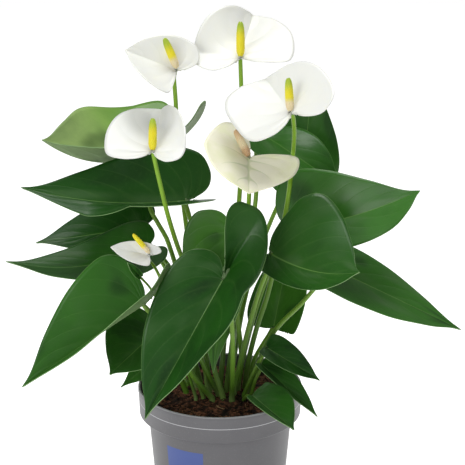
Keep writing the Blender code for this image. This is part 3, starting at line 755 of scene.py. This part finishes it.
LEAVES = {
    "upper_left": Shoot(
        foot=(-20, 6),
        via=((-30, 10, 190), (-40, 12, 230), (-47, 14, 244), (-55, 20, 260), (-52, 40, 282)),
        base=(-41, 60, 294.5), tip=(-135, -4, 319.5), face=(0, 0, 1), green=0.92, half_width=(42, 53),
        lobe=(50, 26), fold=(38, 33), tip_fold=(30, 56), lobe_lift=(42, 0), lobe_open=(-12, 0), bow=-0.13,
        belly=(0.6, 0.42),
    ),
    "left_broad": Shoot(
        foot=(-8, 0), via=((-16, 2, 190), (-18, 1, 233)), base=(-26, 0, 269), tip=(-151, -18, 286),
        face=(0, 0, 1), green=0.12, half_width=(27, 45), lobe=(22, 22), fold=(13, 60), tip_fold=(-30, 52),
        fold_span=(0.36, 0.6), bow=-0.05,
    ),
    "left_back": Shoot(
        foot=(-16, 16), via=((-34, 30, 180), (-52, 38, 215)), base=(-65, 34, 235), tip=(-145, 22, 227),
        face=(0, 0, 1), green=0.1, half_width=(20, 31), lobe=(8, 16), fold=(-50, 46), tip_fold=(-30, 30),
    ),
    "left_long": Shoot(
        foot=(-1, -8), via=((-15, -12, 143), (-32, -6, 200), (-44, 0, 222)), base=(-60, 6, 227),
        tip=(-165, -12, 224), face=(0, 0, 1), green=0.25, half_width=(38, 30), lobe=(18, 14),
        fold=(-5, 35), tip_fold=(0, 24), bow=-0.09,
    ),
    "lower_left_large": Shoot(
        foot=(-6, -17), via=((-22, -24, 135), (-45, -40, 182)), base=(-58, -48, 203),
        tip=(-149, -78, 147), face=(-0.57, -0.67, 1.1), green=0.42, half_width=(44, 48), lobe=(52, 9),
        fold=(50, 45), tip_fold=(34, 45), lobe_lift=(62, 0),
    ),
    "front_large": Shoot(
        foot=(9.5, -17), via=((10, -30, 140), (10, -44, 172), (8, -56, 205)), base=(3, -62, 228),
        tip=(-56, -92, 127), face=(-0.1, -0.95, 0.3), green=0.15, half_width=(46, 40), lobe=(56, 18),
        fold=(60, 8), tip_fold=(66, 8), lobe_lift=(0, -20), lobe_turn=(38, -14), lobe_open=(58, 0),
        belly=(0.9, 0.7),
    ),
    "centre_hanging": Shoot(
        foot=(14, 3), via=((17, -1, 140), (13, -10, 185)), base=(9, -22, 252), tip=(-5, -42, 143),
        face=(-0.2, -0.9, 0.4), green=0.62, half_width=(22, 36), lobe=(15, 15), fold=(10, 8),
        tip_fold=(15, 8),
    ),
    "right_heart": Shoot(
        foot=(11, -5), via=((18, -9, 148), (29, -18, 197)), base=(39, -36, 239), tip=(103, -95, 246),
        face=(-0.63, -0.46, 0.62), green=0.22, half_width=(61, 17), lobe=(10, 4), fold=(-5, 8),
        tip_fold=(-30, 8), bow=-0.05, sickle=0.06, belly=(0.88, 0.46),
    ),
    "right_low": Shoot(
        foot=(22, -1), via=((41, 0, 158), (66, 0, 187)), base=(86, -4, 216), tip=(187, -24, 172),
        face=(0.1, -0.3, 0.95), green=0.48, half_width=(26, 32), lobe=(28, 28), fold=(20, 5),
        tip_fold=(20, 10), belly=(1.0, 0.6),
    ),
    "right_upper": Shoot(
        foot=(13, 12), via=((30, 14, 180), (46, 12, 222)), base=(59, 10, 243), tip=(154, -4, 279),
        face=(0.0, -0.7, 0.7), green=0.5, half_width=(46, 30), lobe=(14, 8), sickle=0.04,
        belly=(1.0, 0.35),
    ),
    "top_right_back": Shoot(
        foot=(8, 19), via=((22, 46, 180), (46, 96, 231)), base=(67, 92, 266), tip=(75, 100, 341),
        face=(0.0, -0.9, 0.4), green=0.4, half_width=(30, 30), lobe=(22, 22),
    ),
    "top_right": Shoot(
        foot=(6, 9), via=((16, 12, 190), (28, 18, 264)), base=(31, 56, 308), tip=(97, 58, 262),
        face=(0.4, -0.5, 0.8), green=0.35, half_width=(34, 30), lobe=(4, 10), fold=(-45, 10),
        tip_fold=(70, 20), belly=(0.8, 0.8),
    ),
    "right_small": Shoot(
        foot=(19, -9), via=((28, -10, 134),), thick=(1.6, 1.2), base=(37, -12, 152), tip=(78, -30, 132),
        face=(0.1, -0.7, 0.7), green=0.15, half_width=(14, 10), lobe=(3, 3), belly=(0.8, 0.6),
    ),
    "right_shaded": Shoot(
        foot=(25, -8), via=((28, -10, 124),), thick=(1.6, 1.2), base=(33, -10, 137), tip=(76, -45, 108),
        face=(0.1, -0.7, 0.7), half_width=(13, 10), lobe=(2, 2), fold=(10, 45), tip_fold=(10, 45),
        belly=(0.7, 0.7),
    ),
    "rim_right": Shoot(
        foot=(19, -18), via=((22, -28, 118),), thick=(1.6, 1.2), base=(26, -40, 123), tip=(57, -72, 109),
        face=(0.1, -0.7, 0.7), green=0.25, half_width=(21, 7), lobe=(3, 2.5), fold=(-5, 30),
        tip_fold=(30, 30), belly=(0.5, 0.7),
    ),
    "back_upright": Shoot(
        foot=(22, 16), via=((28, 20, 130),), base=(43, 30, 153), tip=(58, 66, 218), face=(0.0, -0.8, 0.5),
        green=0.6, half_width=(24, 22), lobe=(3, 3), belly=(0.8, 0.5),
    ),
    "low_left_shaded": Shoot(
        foot=(-27, -3), via=((-38, -6, 138),), base=(-53, -8, 161), tip=(-85, -40, 141),
        face=(0, -0.4, 1), half_width=(24, 34), lobe=(12, 12), fold=(0, 20), tip_fold=(0, 20),
        belly=(0.7, 0.8),
    ),
    "low_left_small": Shoot(
        foot=(-26, 14), via=(), thick=(1.6, 1.2), base=(-44, 24, 135), tip=(-79, 0, 113),
        face=(0.0, -0.8, 0.5), green=0.4, half_width=(14, 14), lobe=(6, 6),
    ),
    "young": Shoot(
        foot=(-19, -14), via=((-30, -20, 150), (-47, -37, 200), (-53, -44, 215)), thick=(1.4, 0.8),
        base=(-60, -53, 228), tip=(-69, -55, 239), face=(0.3, -0.9, 0.3), half_width=(4, 3), lobe=(2, 2),
        fold=(25, 25), tip_fold=(25, 25), belly=(0.6, 0.6),
    ),
}


@dataclass
class Form:
    """How finely one kind of blade is made, and the relief of its upper skin."""

    rows: int
    columns: int
    veins: int
    quilt: float
    swell: float

    def relief(self, turn, out, place, seed):
        """Height of the pillows between the veins and of the broad swells."""
        pillow = abs(sin(pi * self.veins * (turn - VEIN_SWEEP * out * out))) - QUILT_LEVEL
        pillow *= sin(pi * min(out * QUILT_REACH, 1.0)) ** QUILT_EASE
        roll = noise.noise(place * SWELLS_PER_METRE + seed) * out * sin(pi * turn) ** 0.5
        return self.quilt * pillow + self.swell * roll


LEAF_FORM = Form(rows=96, columns=18, veins=9, quilt=0.14 * MM, swell=1.2 * MM)


def body_share(size, off_rib, lean, out):
    """Thickness as a share of the midrib's, least along the margin."""
    near = max(0.0, 1 - off_rib / (RIB_REACH * size)) * (1 - lean) * (1 - out)
    thin = LEAF_THICKNESS / RIB_THICKNESS * (MARGIN_SHARE if out == 1.0 else 1.0)
    return thin + (1 - thin) * near * near * size


def join_rows(shape, chart, grid, half):
    """Faces between the rows of one half, each corner at its place on the map."""
    for lower, upper in zip(grid, grid[1:]):
        for corners in zip(lower, lower[1:], upper[1:], upper):
            corners = corners if half else corners[::-1]
            face = shape.faces.new([corner[0] for corner in corners])
            for loop, (_, turn, out) in zip(face.loops, corners):
                loop[chart].uv = ((turn + half) / 2, out)


def blade_mesh(name, shoot, form, skins):
    """One blade with its relief: rows run along the veins, from the midrib to the
    margin. The map on it holds the share along the edge and the share out."""
    shape = bmesh.new()
    chart = shape.loops.layers.uv.new("UVMap")
    kept = ("relief", "tone", "off_rib", "off_edge")
    relief, tone, off_rib, off_edge = [shape.verts.layers.float.new(label) for label in kept]
    above = shape.verts.layers.float_vector.new("above")
    hinge = shape.verts.layers.float.new("hinge")
    weight = shape.verts.layers.deform.verify()
    seed = Vector((sum(map(ord, name)) % 97, 0.0, 0.0))
    size = min(1.0, max(shoot.half_width) * MM / FULL_SIZE)
    length = shoot.length()
    for half in (0, 1):
        edge = shoot.outline_points(half, form.rows + 1)
        grid = []
        for row, rim in enumerate(edge[1:], 1):
            turn = row / form.rows
            lean = max(0.0, (turn - FAN_SHARE) / (1 - FAN_SHARE))
            root = Vector((length * lean**VEIN_LEAN, 0.0))
            way = (edge[min(row + 1, form.rows)] - edge[row - 1]).normalized()
            line = []
            for column in range(form.columns + 1):
                out = (column / form.columns) ** COLUMN_LEAN
                flat = root.lerp(rim, out)
                place = shoot.place(flat.x, flat.y, half)
                point = shape.verts.new(place)
                ahead = min(max(0.0, flat.x / length), 1.0)
                reach = abs(flat.y) if flat.x > 0 else flat.length
                taper = size * max(TIP_LINE, 1 - ahead)
                point[relief] = size * form.relief(turn, out, place, seed)
                point[tone] = shoot.green
                point[off_rib] = reach / taper
                point[off_edge] = abs(way.cross(flat - rim)) / taper**0.5
                point[hinge] = min(1.0, reach / HINGE_REACH)
                point[above] = shoot.midrib(ahead)[3]
                point[weight][0] = body_share(size, abs(flat.y), lean, out)
                line.append((point, turn, out))
            grid.append(line)
        join_rows(shape, chart, grid, half)
    bmesh.ops.remove_doubles(shape, verts=shape.verts, dist=0.015 * MM)
    shape.normal_update()
    for point, normal in [(point, point.normal.copy()) for point in shape.verts]:
        outward = point[above].lerp(normal, point[hinge]).normalized()
        point.co += outward * (point[relief] + LEAF_THICKNESS / 2)
    shape.verts.layers.float_vector.remove(above)
    shape.verts.layers.float.remove(hinge)
    return to_mesh(name, shape, BLADE_SHARP, *skins)


def add_blade(name, kind, shoot, form, skins):
    """One finished blade, given its body downward from its upper skin."""
    mesh = blade_mesh(name + "_" + kind, shoot, form, skins)
    piece = add_piece(name + "_" + kind, mesh, kind + "_" + name)
    piece.vertex_groups.new(name="thickness")
    body = piece.modifiers.new("body", "SOLIDIFY")
    body.thickness = RIB_THICKNESS
    body.offset = -1.0
    body.vertex_group = "thickness"
    body.material_offset = 1
    body.material_offset_rim = 2


def chart_shares(tree):
    """The map's place across both halves, the share along one half's edge, and the
    share out."""
    across, out, _ = split(tree, add(tree, "ShaderNodeUVMap", uv_map="UVMap").outputs[0])
    turn = number(tree, "FRACT", times(tree, across, 2.0))
    return across, turn, out


def side_veins(tree, turn, out, count, width):
    """1 on a side vein, falling to 0 a little way off it."""
    bent = number(tree, "SUBTRACT", turn, times(tree, VEIN_SWEEP, times(tree, out, out)))
    off = number(tree, "PINGPONG", times(tree, bent, float(count)), 0.5)
    return rise(tree, times(tree, off, out), 0.0, width, 1.0, 0.0)


def measure(tree, name):
    """A number that the mesh keeps at each of its points."""
    return add(tree, "ShaderNodeAttribute", attribute_name=name).outputs["Fac"]


def green_by_tone(tree, deep, middle, fresh):
    """Deep, middle or fresh green, as the blade's tone goes from 0 to 1."""
    tone = measure(tree, "tone")
    shade = tint(tree, rise(tree, tone, 0.0, 0.5), deep, middle)
    return tint(tree, rise(tree, tone, 0.5, 1.0), shade, fresh)


def fan_sheen(tree, across, out):
    """Broad soft streaks that fan out with the veins, other ones on each leaf: the pattern of the painted
    sheen and painted dark reflections on the upper skin.
    """
    leaf_by_leaf = times(tree, measure(tree, "tone"), FAN_SHIFT)
    place = {0: times(tree, across, FAN_STREAKS), 1: times(tree, out, 1.3), 2: leaf_by_leaf}
    return noise_value(tree, add(tree, "ShaderNodeCombineXYZ", place).outputs[0], 1.0, 1.5)


def leaf_top():
    """Deep green and glossy, with a painted sheen: broad paler streaks along the veins as painted
    highlights and darker ones as painted dark reflections.
    """
    material, tree, shader = finish("leaf_top", 0.36, Specular_IOR_Level=0.24)
    place = object_place(tree)
    across, turn, out = chart_shares(tree)
    vein = side_veins(tree, turn, out, LEAF_FORM.veins, 0.05)
    cloud = noise_value(tree, place, 22.0)
    fleck = noise_value(tree, place, 420.0)
    sheen_fan = fan_sheen(tree, across, out)
    rib = rise(tree, measure(tree, "off_rib"), *RIB_LINE, 0.55, 0.0)
    edge = rise(tree, measure(tree, "off_edge"), *EDGE_LINE, 0.55, 0.0)
    ripe = times(tree, rise(tree, measure(tree, "tone"), 0.7, 0.9), rise(tree, turn, 0.35, 0.9))
    green = green_by_tone(tree, (0.006, 0.056, 0.003), (0.032, 0.140, 0.012), (0.13, 0.30, 0.018))
    for share, colour in (
        (times(tree, ripe, 0.75), (0.42, 0.55, 0.22)),
        # painted dark reflection: near-black streaks where the fan pattern is low
        (rise(tree, sheen_fan, 0.28, 0.46, 0.62, 0.0), (0.002, 0.026, 0.001)),
        # painted sheen: pale bluish-green streaks where the fan pattern is high
        (rise(tree, sheen_fan, 0.5, 0.72, 0.0, 0.42), (0.085, 0.165, 0.065)),
        (rise(tree, cloud, 0.4, 0.7, 0.0, 0.3), (0.006, 0.048, 0.002)),
        (rise(tree, fleck, 0.5, 0.8, 0.0, 0.1), (0.07, 0.16, 0.03)),
        (times(tree, vein, 0.07), (0.12, 0.24, 0.06)),
        (rib, (0.15, 0.30, 0.07)),
        (edge, (0.15, 0.28, 0.09)),
    ):
        green = tint(tree, share, green, colour)
    tree.links.new(rise(tree, sheen_fan, 0.3, 0.7, 0.46, 0.28), shader.inputs["Roughness"])
    height = number(tree, "ADD", times(tree, vein, -0.6), times(tree, fleck, 0.35))
    cover(tree, shader, green, height, 0.3, 0.3 * MM)
    return material


def leaf_under():
    """Dull grey-green with the veins and the midrib standing out."""
    material, tree, shader = finish("leaf_under", 0.6, Specular_IOR_Level=0.3)
    _, turn, out = chart_shares(tree)
    vein = side_veins(tree, turn, out, LEAF_FORM.veins, 0.06)
    fleck = noise_value(tree, object_place(tree), 300.0)
    rib = rise(tree, measure(tree, "off_rib"), *RIB_LINE, 0.8, 0.0)
    green = green_by_tone(tree, (0.10, 0.165, 0.070), (0.12, 0.21, 0.07), (0.15, 0.225, 0.09))
    green = tint(tree, rise(tree, fleck, 0.4, 0.8, 0.0, 0.25), green, (0.07, 0.13, 0.05))
    green = tint(tree, times(tree, vein, 0.25), green, (0.24, 0.36, 0.17))
    green = tint(tree, rib, green, (0.32, 0.42, 0.20))
    cover(tree, shader, green, number(tree, "ADD", vein, times(tree, fleck, 0.3)), 0.4, 0.4 * MM)
    return material


def leaf_margin():
    """The pale rim between the two sides of a blade."""
    material, tree, shader = finish("leaf_margin", 0.45)
    patches = noise_value(tree, object_place(tree), 90.0)
    pale = tint(tree, patches, (0.12, 0.25, 0.07), (0.24, 0.40, 0.15))
    tree.links.new(pale, shader.inputs["Base Color"])
    return material


leaf_skins = (leaf_top(), leaf_under(), leaf_margin())
for name, leaf in LEAVES.items():
    add_blade(name, "leaf", leaf, LEAF_FORM, leaf_skins)


# Petioles
#
# One round stalk carries each leaf. It is pale and a little swollen where it
# leaves the crown, and has a short thick joint just under its blade.

PETIOLE_COLOURS = ((0.24, 0.36, 0.12), (0.095, 0.21, 0.020), (0.17, 0.32, 0.034))
STALK_POINTS = 44
STALK_SIDES = 16
STALK_DEPTH = 12.0 * MM
STALK_RISE = 2.0 * MM
BEND_STEPS = 10
NECK = 3.5 * MM
FOOT_SWELL = 0.35
FOOT_REACH = 26.0 * MM
JOINT_SWELL = 0.22
JOINT_PLACE = 7.0 * MM
JOINT_REACH = 6.0 * MM


def stalk_tree():
    """Skin a line with a round section. It keeps the share along in an attribute."""
    tree, given = new_tree("stalk", Sides="Int", Finish="Material")
    share = build(tree, "SplineParameter")
    line = build(tree, "StoreNamedAttribute", Geometry=given["Geometry"], Name="along", Value=share)
    section = build(tree, "CurvePrimitiveCircle", Resolution=given["Sides"], Radius=1.0)
    girth = build(tree, "InputRadius")
    skin = build(tree, "CurveToMesh", Curve=line, Profile_Curve=section, Scale=girth, Fill_Caps=True)
    skin = build(tree, "SetShadeSmooth", Geometry=skin)
    skin = build(tree, "SetMaterial", Geometry=skin, Material=given["Finish"])
    return close_tree(tree, skin)


def stalk_path(shoot):
    """From under the mix, up through the given points, to the blade's back."""
    end, _, _, up = shoot.midrib(0.0)
    droop = radians(max(0, -min(shoot.fold)))
    top = end - up * (LEAF_THICKNESS / 2 + shoot.thick[1] * MM * tan(droop))
    ground = Vector((shoot.foot[0] * MM, shoot.foot[1] * MM, SOIL_EDGE + SOIL_MOUND))
    rising = [ground + Vector((0.0, 0.0, STALK_RISE))] + [mm(point) for point in shoot.via]
    curve = evenly_spaced(smooth_curve(rising + [top - up * NECK, top], BEND_STEPS), STALK_POINTS)
    return [ground - Vector((0.0, 0.0, STALK_DEPTH))] + curve


def stalk_line(name, shoot, joint_swell):
    """The stalk's line with its radius at each point."""
    path = stalk_path(shoot)
    reach = reaches(path)
    curve = bpy.data.curves.new(name, "CURVE")
    curve.dimensions = "3D"
    line = curve.splines.new("POLY")
    line.points.add(len(path) - 1)
    foot, neck = shoot.thick
    for point, place, distance in zip(line.points, path, reach):
        share = distance / reach[-1]
        girth = foot + (neck - foot) * share
        girth *= 1 + FOOT_SWELL * max(0.0, 1 - distance / FOOT_REACH) ** 1.5
        off_joint = (reach[-1] - distance - JOINT_PLACE) / JOINT_REACH
        girth *= 1 + joint_swell * max(0.0, 1 - off_joint * off_joint)
        point.co = (*place, 1.0)
        point.radius = girth * MM
    return curve


def stalk_finish(name, foot, low, high):
    """Smooth green skin, in three colours up the stalk and with faint streaks."""
    material, tree, shader = finish(name, 0.38, Specular_IOR_Level=0.3)
    along = measure(tree, "along")
    drawn_out = {"Vector": object_place(tree), "Scale": (1.0, 1.0, 0.08)}
    streak = noise_value(tree, add(tree, "ShaderNodeMapping", drawn_out).outputs[0], 900.0)
    green = tint(tree, rise(tree, along, 0.15, 0.8), low, high)
    green = tint(tree, rise(tree, along, 0.05, 0.2, 1.0, 0.0), green, foot)
    green = tint(tree, rise(tree, streak, 0.45, 0.75, 0.0, 0.3), green, low)
    cover(tree, shader, green, streak, 0.15, 0.2 * MM)
    return material


skin_stalk = stalk_tree()


def add_stalk(name, kind, shoot, joint_swell, skin):
    """One finished stalk, of a petiole's or a peduncle's kind."""
    line = stalk_line(name + "_" + kind, shoot, joint_swell)
    mesh = grow(skin_stalk, line, Sides=STALK_SIDES, Finish=skin)
    add_piece(name + "_" + kind, mesh, kind + "_" + name)


petiole_green = stalk_finish("petiole_green", *PETIOLE_COLOURS)
for name, leaf in LEAVES.items():
    add_stalk(name, "petiole", leaf, JOINT_SWELL, petiole_green)


# Spathes
#
# The white blade of each flower is a thick, waxy heart, smooth and softly
# quilted between its veins, with a green tinge round the stalk. The oldest one
# has turned cream, and its veins show green.

SPATHE_FORM = Form(rows=80, columns=18, veins=6, quilt=0.36 * MM, swell=2.3 * MM)
SPATHE_ROUGHNESS = {"spathe_front": 0.4, "spathe_back": 0.5, "spathe_edge": 0.45}
USUAL_GIRTH = 3.0
SPATHE_OUTLINE = (
    (0.0, 0.0),
    (-0.66, 0.20),
    (-1.0, 0.52),
    (-0.60, 0.90),
    (0.14, 1.0),
    (0.48, 0.88),
    (0.76, 0.56),
    (0.93, 0.19),
    (1.0, 0.0),
)


@dataclass(kw_only=True)
class Flower(Shoot):
    """A shoot with rounder lobes, whose tone is its age from 0 to 1. It carries a
    spadix, with an upper end, a radius, and colours from the foot to the tip."""

    outline: tuple = SPATHE_OUTLINE
    green: float = 0.0
    spadix: tuple
    girth: float = USUAL_GIRTH
    colours: tuple


YELLOW = (0.82, 0.70, 0.015)
LIME = (0.36, 0.50, 0.035)
IVORY = (0.80, 0.66, 0.42)
BEIGE = (0.62, 0.40, 0.22)

FLOWERS = {
    "front_left": Flower(
        foot=(2.5, -14),
        via=((-4, -13, 133), (-15, -12, 185), (-27, -9, 220), (-33, -15, 240), (-40, -38, 276)),
        spadix=(-49, -41, 347), colours=(YELLOW, YELLOW, LIME), base=(-49, -48, 324), tip=(-44, 4, 341),
        face=(-0.15, -0.5, 1), half_width=(37, 25), lobe=(12, 15), fold=(8, 0), tip_fold=(30, 60),
        belly=(0.8, 0.75),
    ),
    "top_left": Flower(
        foot=(-10, 10),
        via=((-22, 30, 200), (-32, 34, 285), (-33, 30, 306), (-33, 18, 318), (-33, 6, 329), (-33, 1, 346)),
        spadix=(-41, 2, 397), girth=2.9, colours=(IVORY, YELLOW, LIME), base=(-33, 0, 373),
        tip=(-71, 2, 388), face=(0, -0.3, 1), green=0.05, half_width=(31, 27), lobe=(2, 14),
        fold=(-5, 35), tip_fold=(5, 45), belly=(1.0, 1.2),
    ),
    "top": Flower(
        foot=(0, 5), via=((7, 10, 190), (15, 10, 265), (17, 14, 330)), spadix=(16, 22, 405), girth=3.1,
        colours=(YELLOW, YELLOW, LIME), base=(16, 15, 379), tip=(26, 65, 400), face=(0, -0.5, 1),
        green=0.05, half_width=(37, 40), lobe=(20, 5), fold=(0, 5), tip_fold=(60, 20), belly=(0.8, 0.9),
    ),
    "right": Flower(
        foot=(20, 8),
        via=((22, 3, 132), (29, 0, 164), (38, 0, 195), (48, -2, 245), (53, -3, 276), (56, -26, 325)),
        spadix=(51, -38, 377), colours=(IVORY, YELLOW, LIME), base=(53, -45, 353), tip=(35, 5, 365),
        face=(-0.5, -0.4, 1), half_width=(42, 38), lobe=(17, 24), fold=(8, 8), tip_fold=(25, 25),
        belly=(0.42, 0.8),
    ),
    "middle": Flower(
        foot=(5, 0), via=((14, -2, 190), (22, -12, 266)), spadix=(12, -24, 333), girth=2.8,
        colours=(BEIGE, IVORY, BEIGE), base=(22, -30, 313), tip=(22, -78, 301), face=(0, -0.3, 1),
        green=1.0, half_width=(38, 38), lobe=(6, 30), fold=(0, 32), tip_fold=(0, 20), lobe_turn=(0, 25),
    ),
    "small_left": Flower(
        foot=(-13, -14), via=((-26, -18, 150), (-45, -34, 218)), thick=(1.6, 1.1), spadix=(-64, -60, 263),
        girth=1.8, colours=(IVORY, YELLOW, YELLOW), base=(-53, -58, 246), tip=(-81, -60, 253),
        face=(0, -0.8, 1), half_width=(11, 9), lobe=(2, 9), fold=(10, 45), tip_fold=(10, 0),
    ),
}


def spathe_skin(name, roughness):
    """Waxy white. An old spathe, by its tone, is cream with green veins."""
    waxy = {"Coat_Weight": 0.15, "Coat_Roughness": 0.3}
    milky = {"Subsurface_Weight": 0.12, "Subsurface_Radius": (1.0, 0.9, 0.6), "Subsurface_Scale": 2.0 * MM}
    material, tree, shader = finish(name, roughness, **waxy, **milky)
    age = measure(tree, "tone")
    _, turn, out = chart_shares(tree)
    vein = side_veins(tree, turn, out, SPATHE_FORM.veins, 0.018)
    cloud = noise_value(tree, object_place(tree), 45.0)
    in_lobe = times(tree, rise(tree, turn, 0.02, 0.26, 1.0, 0.0), rise(tree, out, 0.2, 0.75, 1.0, 0.35))
    drawn = times(tree, vein, rise(tree, out, 0.25, 0.85, 1.0, 0.0))
    white = tint(tree, age, (0.77, 0.78, 0.74), (0.93, 0.90, 0.72))
    white = tint(tree, times(tree, in_lobe, 0.35), white, (0.72, 0.79, 0.50))
    white = tint(tree, times(tree, age, rise(tree, cloud, 0.4, 0.7, 0.0, 0.5)), white, (0.76, 0.80, 0.42))
    white = tint(tree, times(tree, drawn, times(tree, age, 0.45)), white, (0.38, 0.50, 0.16))
    white = tint(tree, times(tree, drawn, 0.06), white, (0.62, 0.68, 0.50))
    cover(tree, shader, white, times(tree, vein, -1.0), 0.15, 0.3 * MM)
    return material


spathe_skins = [spathe_skin(side, roughness) for side, roughness in SPATHE_ROUGHNESS.items()]
for name, flower in FLOWERS.items():
    add_blade(name, "spathe", flower, SPATHE_FORM, spathe_skins)


# Peduncles
#
# The flower stalks are straighter and thinner than the petioles and a fresher
# green. Each ends just under its spathe, where the spadix starts above.

PEDUNCLE_COLOURS = ((0.18, 0.30, 0.07), (0.075, 0.18, 0.014), (0.21, 0.39, 0.025))

peduncle_green = stalk_finish("peduncle_green", *PEDUNCLE_COLOURS)
for name, flower in FLOWERS.items():
    add_stalk(name, "peduncle", flower, 0.0, peduncle_green)


# Spadices
#
# A fleshy spike packed with tiny flowers in spirals, each a low bump. Most are
# yellow, greener toward the tip, and paler at the foot where they have opened.

SPADIX_FOOT = 1.2 * MM
CLEARANCE = 0.3 * MM
SPADIX_SIDES = 24
SPADIX_RINGS = 28
FLORETS_PER_MM = 9.0
FLORET_SIZE = 0.62 * MM
FLORET_SINK = 0.12 * MM
FLORET_FORM = (0.62, 1.0, 1.0)
GOLDEN_ANGLE = 2.39996
SPADIX_PROFILE = (
    (0.0, 0.4),
    (0.07, 0.75),
    (0.18, 0.97),
    (0.5, 1.0),
    (0.8, 0.86),
    (0.93, 0.64),
    (1.0, 0.25),
)


def girth_at(tree, share, girth):
    """The spike's radius at a share of its length."""
    bulge = add(tree, "ShaderNodeFloatCurve", {"Value": share})
    curve = bulge.mapping.curves[0]
    curve.points[0].location = SPADIX_PROFILE[0]
    curve.points[1].location = SPADIX_PROFILE[-1]
    for height, width in SPADIX_PROFILE[1:-1]:
        curve.points.new(height, width)
    bulge.mapping.update()
    return times(tree, bulge.outputs[0], girth)


def spadix_tree():
    """A tapering spike set with bumps along a spiral."""
    tree, given = new_tree("spadix", Length="Float", Girth="Float", Florets="Int", Finish="Material")
    top = add(tree, "ShaderNodeCombineXYZ", {"Z": given["Length"]}).outputs[0]
    axis = build(tree, "CurvePrimitiveLine", Start=(0.0, 0.0, 0.0), End=top)
    axis = build(tree, "ResampleCurve", Curve=axis, Count=SPADIX_RINGS)
    share = build(tree, "SplineParameter")
    axis = build(tree, "StoreNamedAttribute", Geometry=axis, Name="along", Value=share)
    section = build(tree, "CurvePrimitiveCircle", Resolution=SPADIX_SIDES, Radius=1.0)
    girth = girth_at(tree, share, given["Girth"])
    spike = build(tree, "CurveToMesh", Curve=axis, Profile_Curve=section, Scale=girth, Fill_Caps=True)
    order = build(tree, "InputIndex")
    height = number(tree, "DIVIDE", number(tree, "ADD", order, 0.5), given["Florets"])
    turn = times(tree, order, GOLDEN_ANGLE)
    radius = number(tree, "SUBTRACT", girth_at(tree, height, given["Girth"]), FLORET_SINK)
    x = times(tree, radius, number(tree, "COSINE", turn))
    y = times(tree, radius, number(tree, "SINE", turn))
    z = times(tree, height, given["Length"])
    place = add(tree, "ShaderNodeCombineXYZ", {0: x, 1: y, 2: z}).outputs[0]
    spots = build(tree, "Points", Count=given["Florets"], Position=place)
    spots = build(tree, "StoreNamedAttribute", Geometry=spots, Name="along", Value=height)
    bud = build(tree, "MeshIcoSphere", Radius=FLORET_SIZE, Subdivisions=2)
    facing = add(tree, "ShaderNodeCombineXYZ", {"Z": turn}).outputs[0]
    laid = {"Points": spots, "Instance": bud, "Rotation": facing, "Scale": FLORET_FORM}
    florets = build(tree, "RealizeInstances", Geometry=build(tree, "InstanceOnPoints", **laid))
    whole = build(tree, "SetShadeSmooth", Geometry=join(tree, florets, spike))
    whole = build(tree, "SetMaterial", Geometry=whole, Material=given["Finish"])
    return close_tree(tree, whole)


def spadix_finish(name, foot, middle, tip):
    """Grainy, in three colours from the foot to the tip."""
    material, tree, shader = finish(name, 0.5, Subsurface_Weight=0.08, Subsurface_Scale=1.0 * MM)
    along = measure(tree, "along")
    grain = noise_value(tree, object_place(tree), 1500.0)
    colour = tint(tree, rise(tree, along, 0.22, 0.42), foot, middle)
    colour = tint(tree, rise(tree, along, 0.5, 0.95), colour, tip)
    colour = tint(tree, rise(tree, grain, 0.45, 0.75, 0.0, 0.25), colour, middle)
    cover(tree, shader, colour, grain, 0.3, 0.2 * MM)
    return material


def spadix_foot(flower):
    """Where a leaning spadix starts, clear of the folded halves on both sides."""
    place, _, _, up = flower.midrib(0.0)
    slope = radians(max(0, *flower.fold))
    lean = (mm(flower.spadix) - place).normalized().cross(up).length
    clear = LEAF_THICKNESS / 2 + CLEARANCE
    return place + up * (clear + SPADIX_FOOT * (sin(slope) + lean)) / cos(slope)


spike_tree = spadix_tree()
for name, flower in FLOWERS.items():
    start = spadix_foot(flower)
    axis = mm(flower.spadix) - start
    florets = int(axis.length / MM * flower.girth / USUAL_GIRTH * FLORETS_PER_MM)
    skin = spadix_finish(name + "_spadix", *flower.colours)
    sizes = {"Length": axis.length, "Girth": flower.girth * MM, "Florets": florets}
    mesh = grow(spike_tree, bpy.data.meshes.new(name + "_spadix"), Finish=skin, **sizes)
    mesh.transform(Matrix.Translation(start) @ axis.to_track_quat("Z", "Y").to_matrix().to_4x4())
    add_piece(name + "_spadix", mesh, "spadix_" + name)
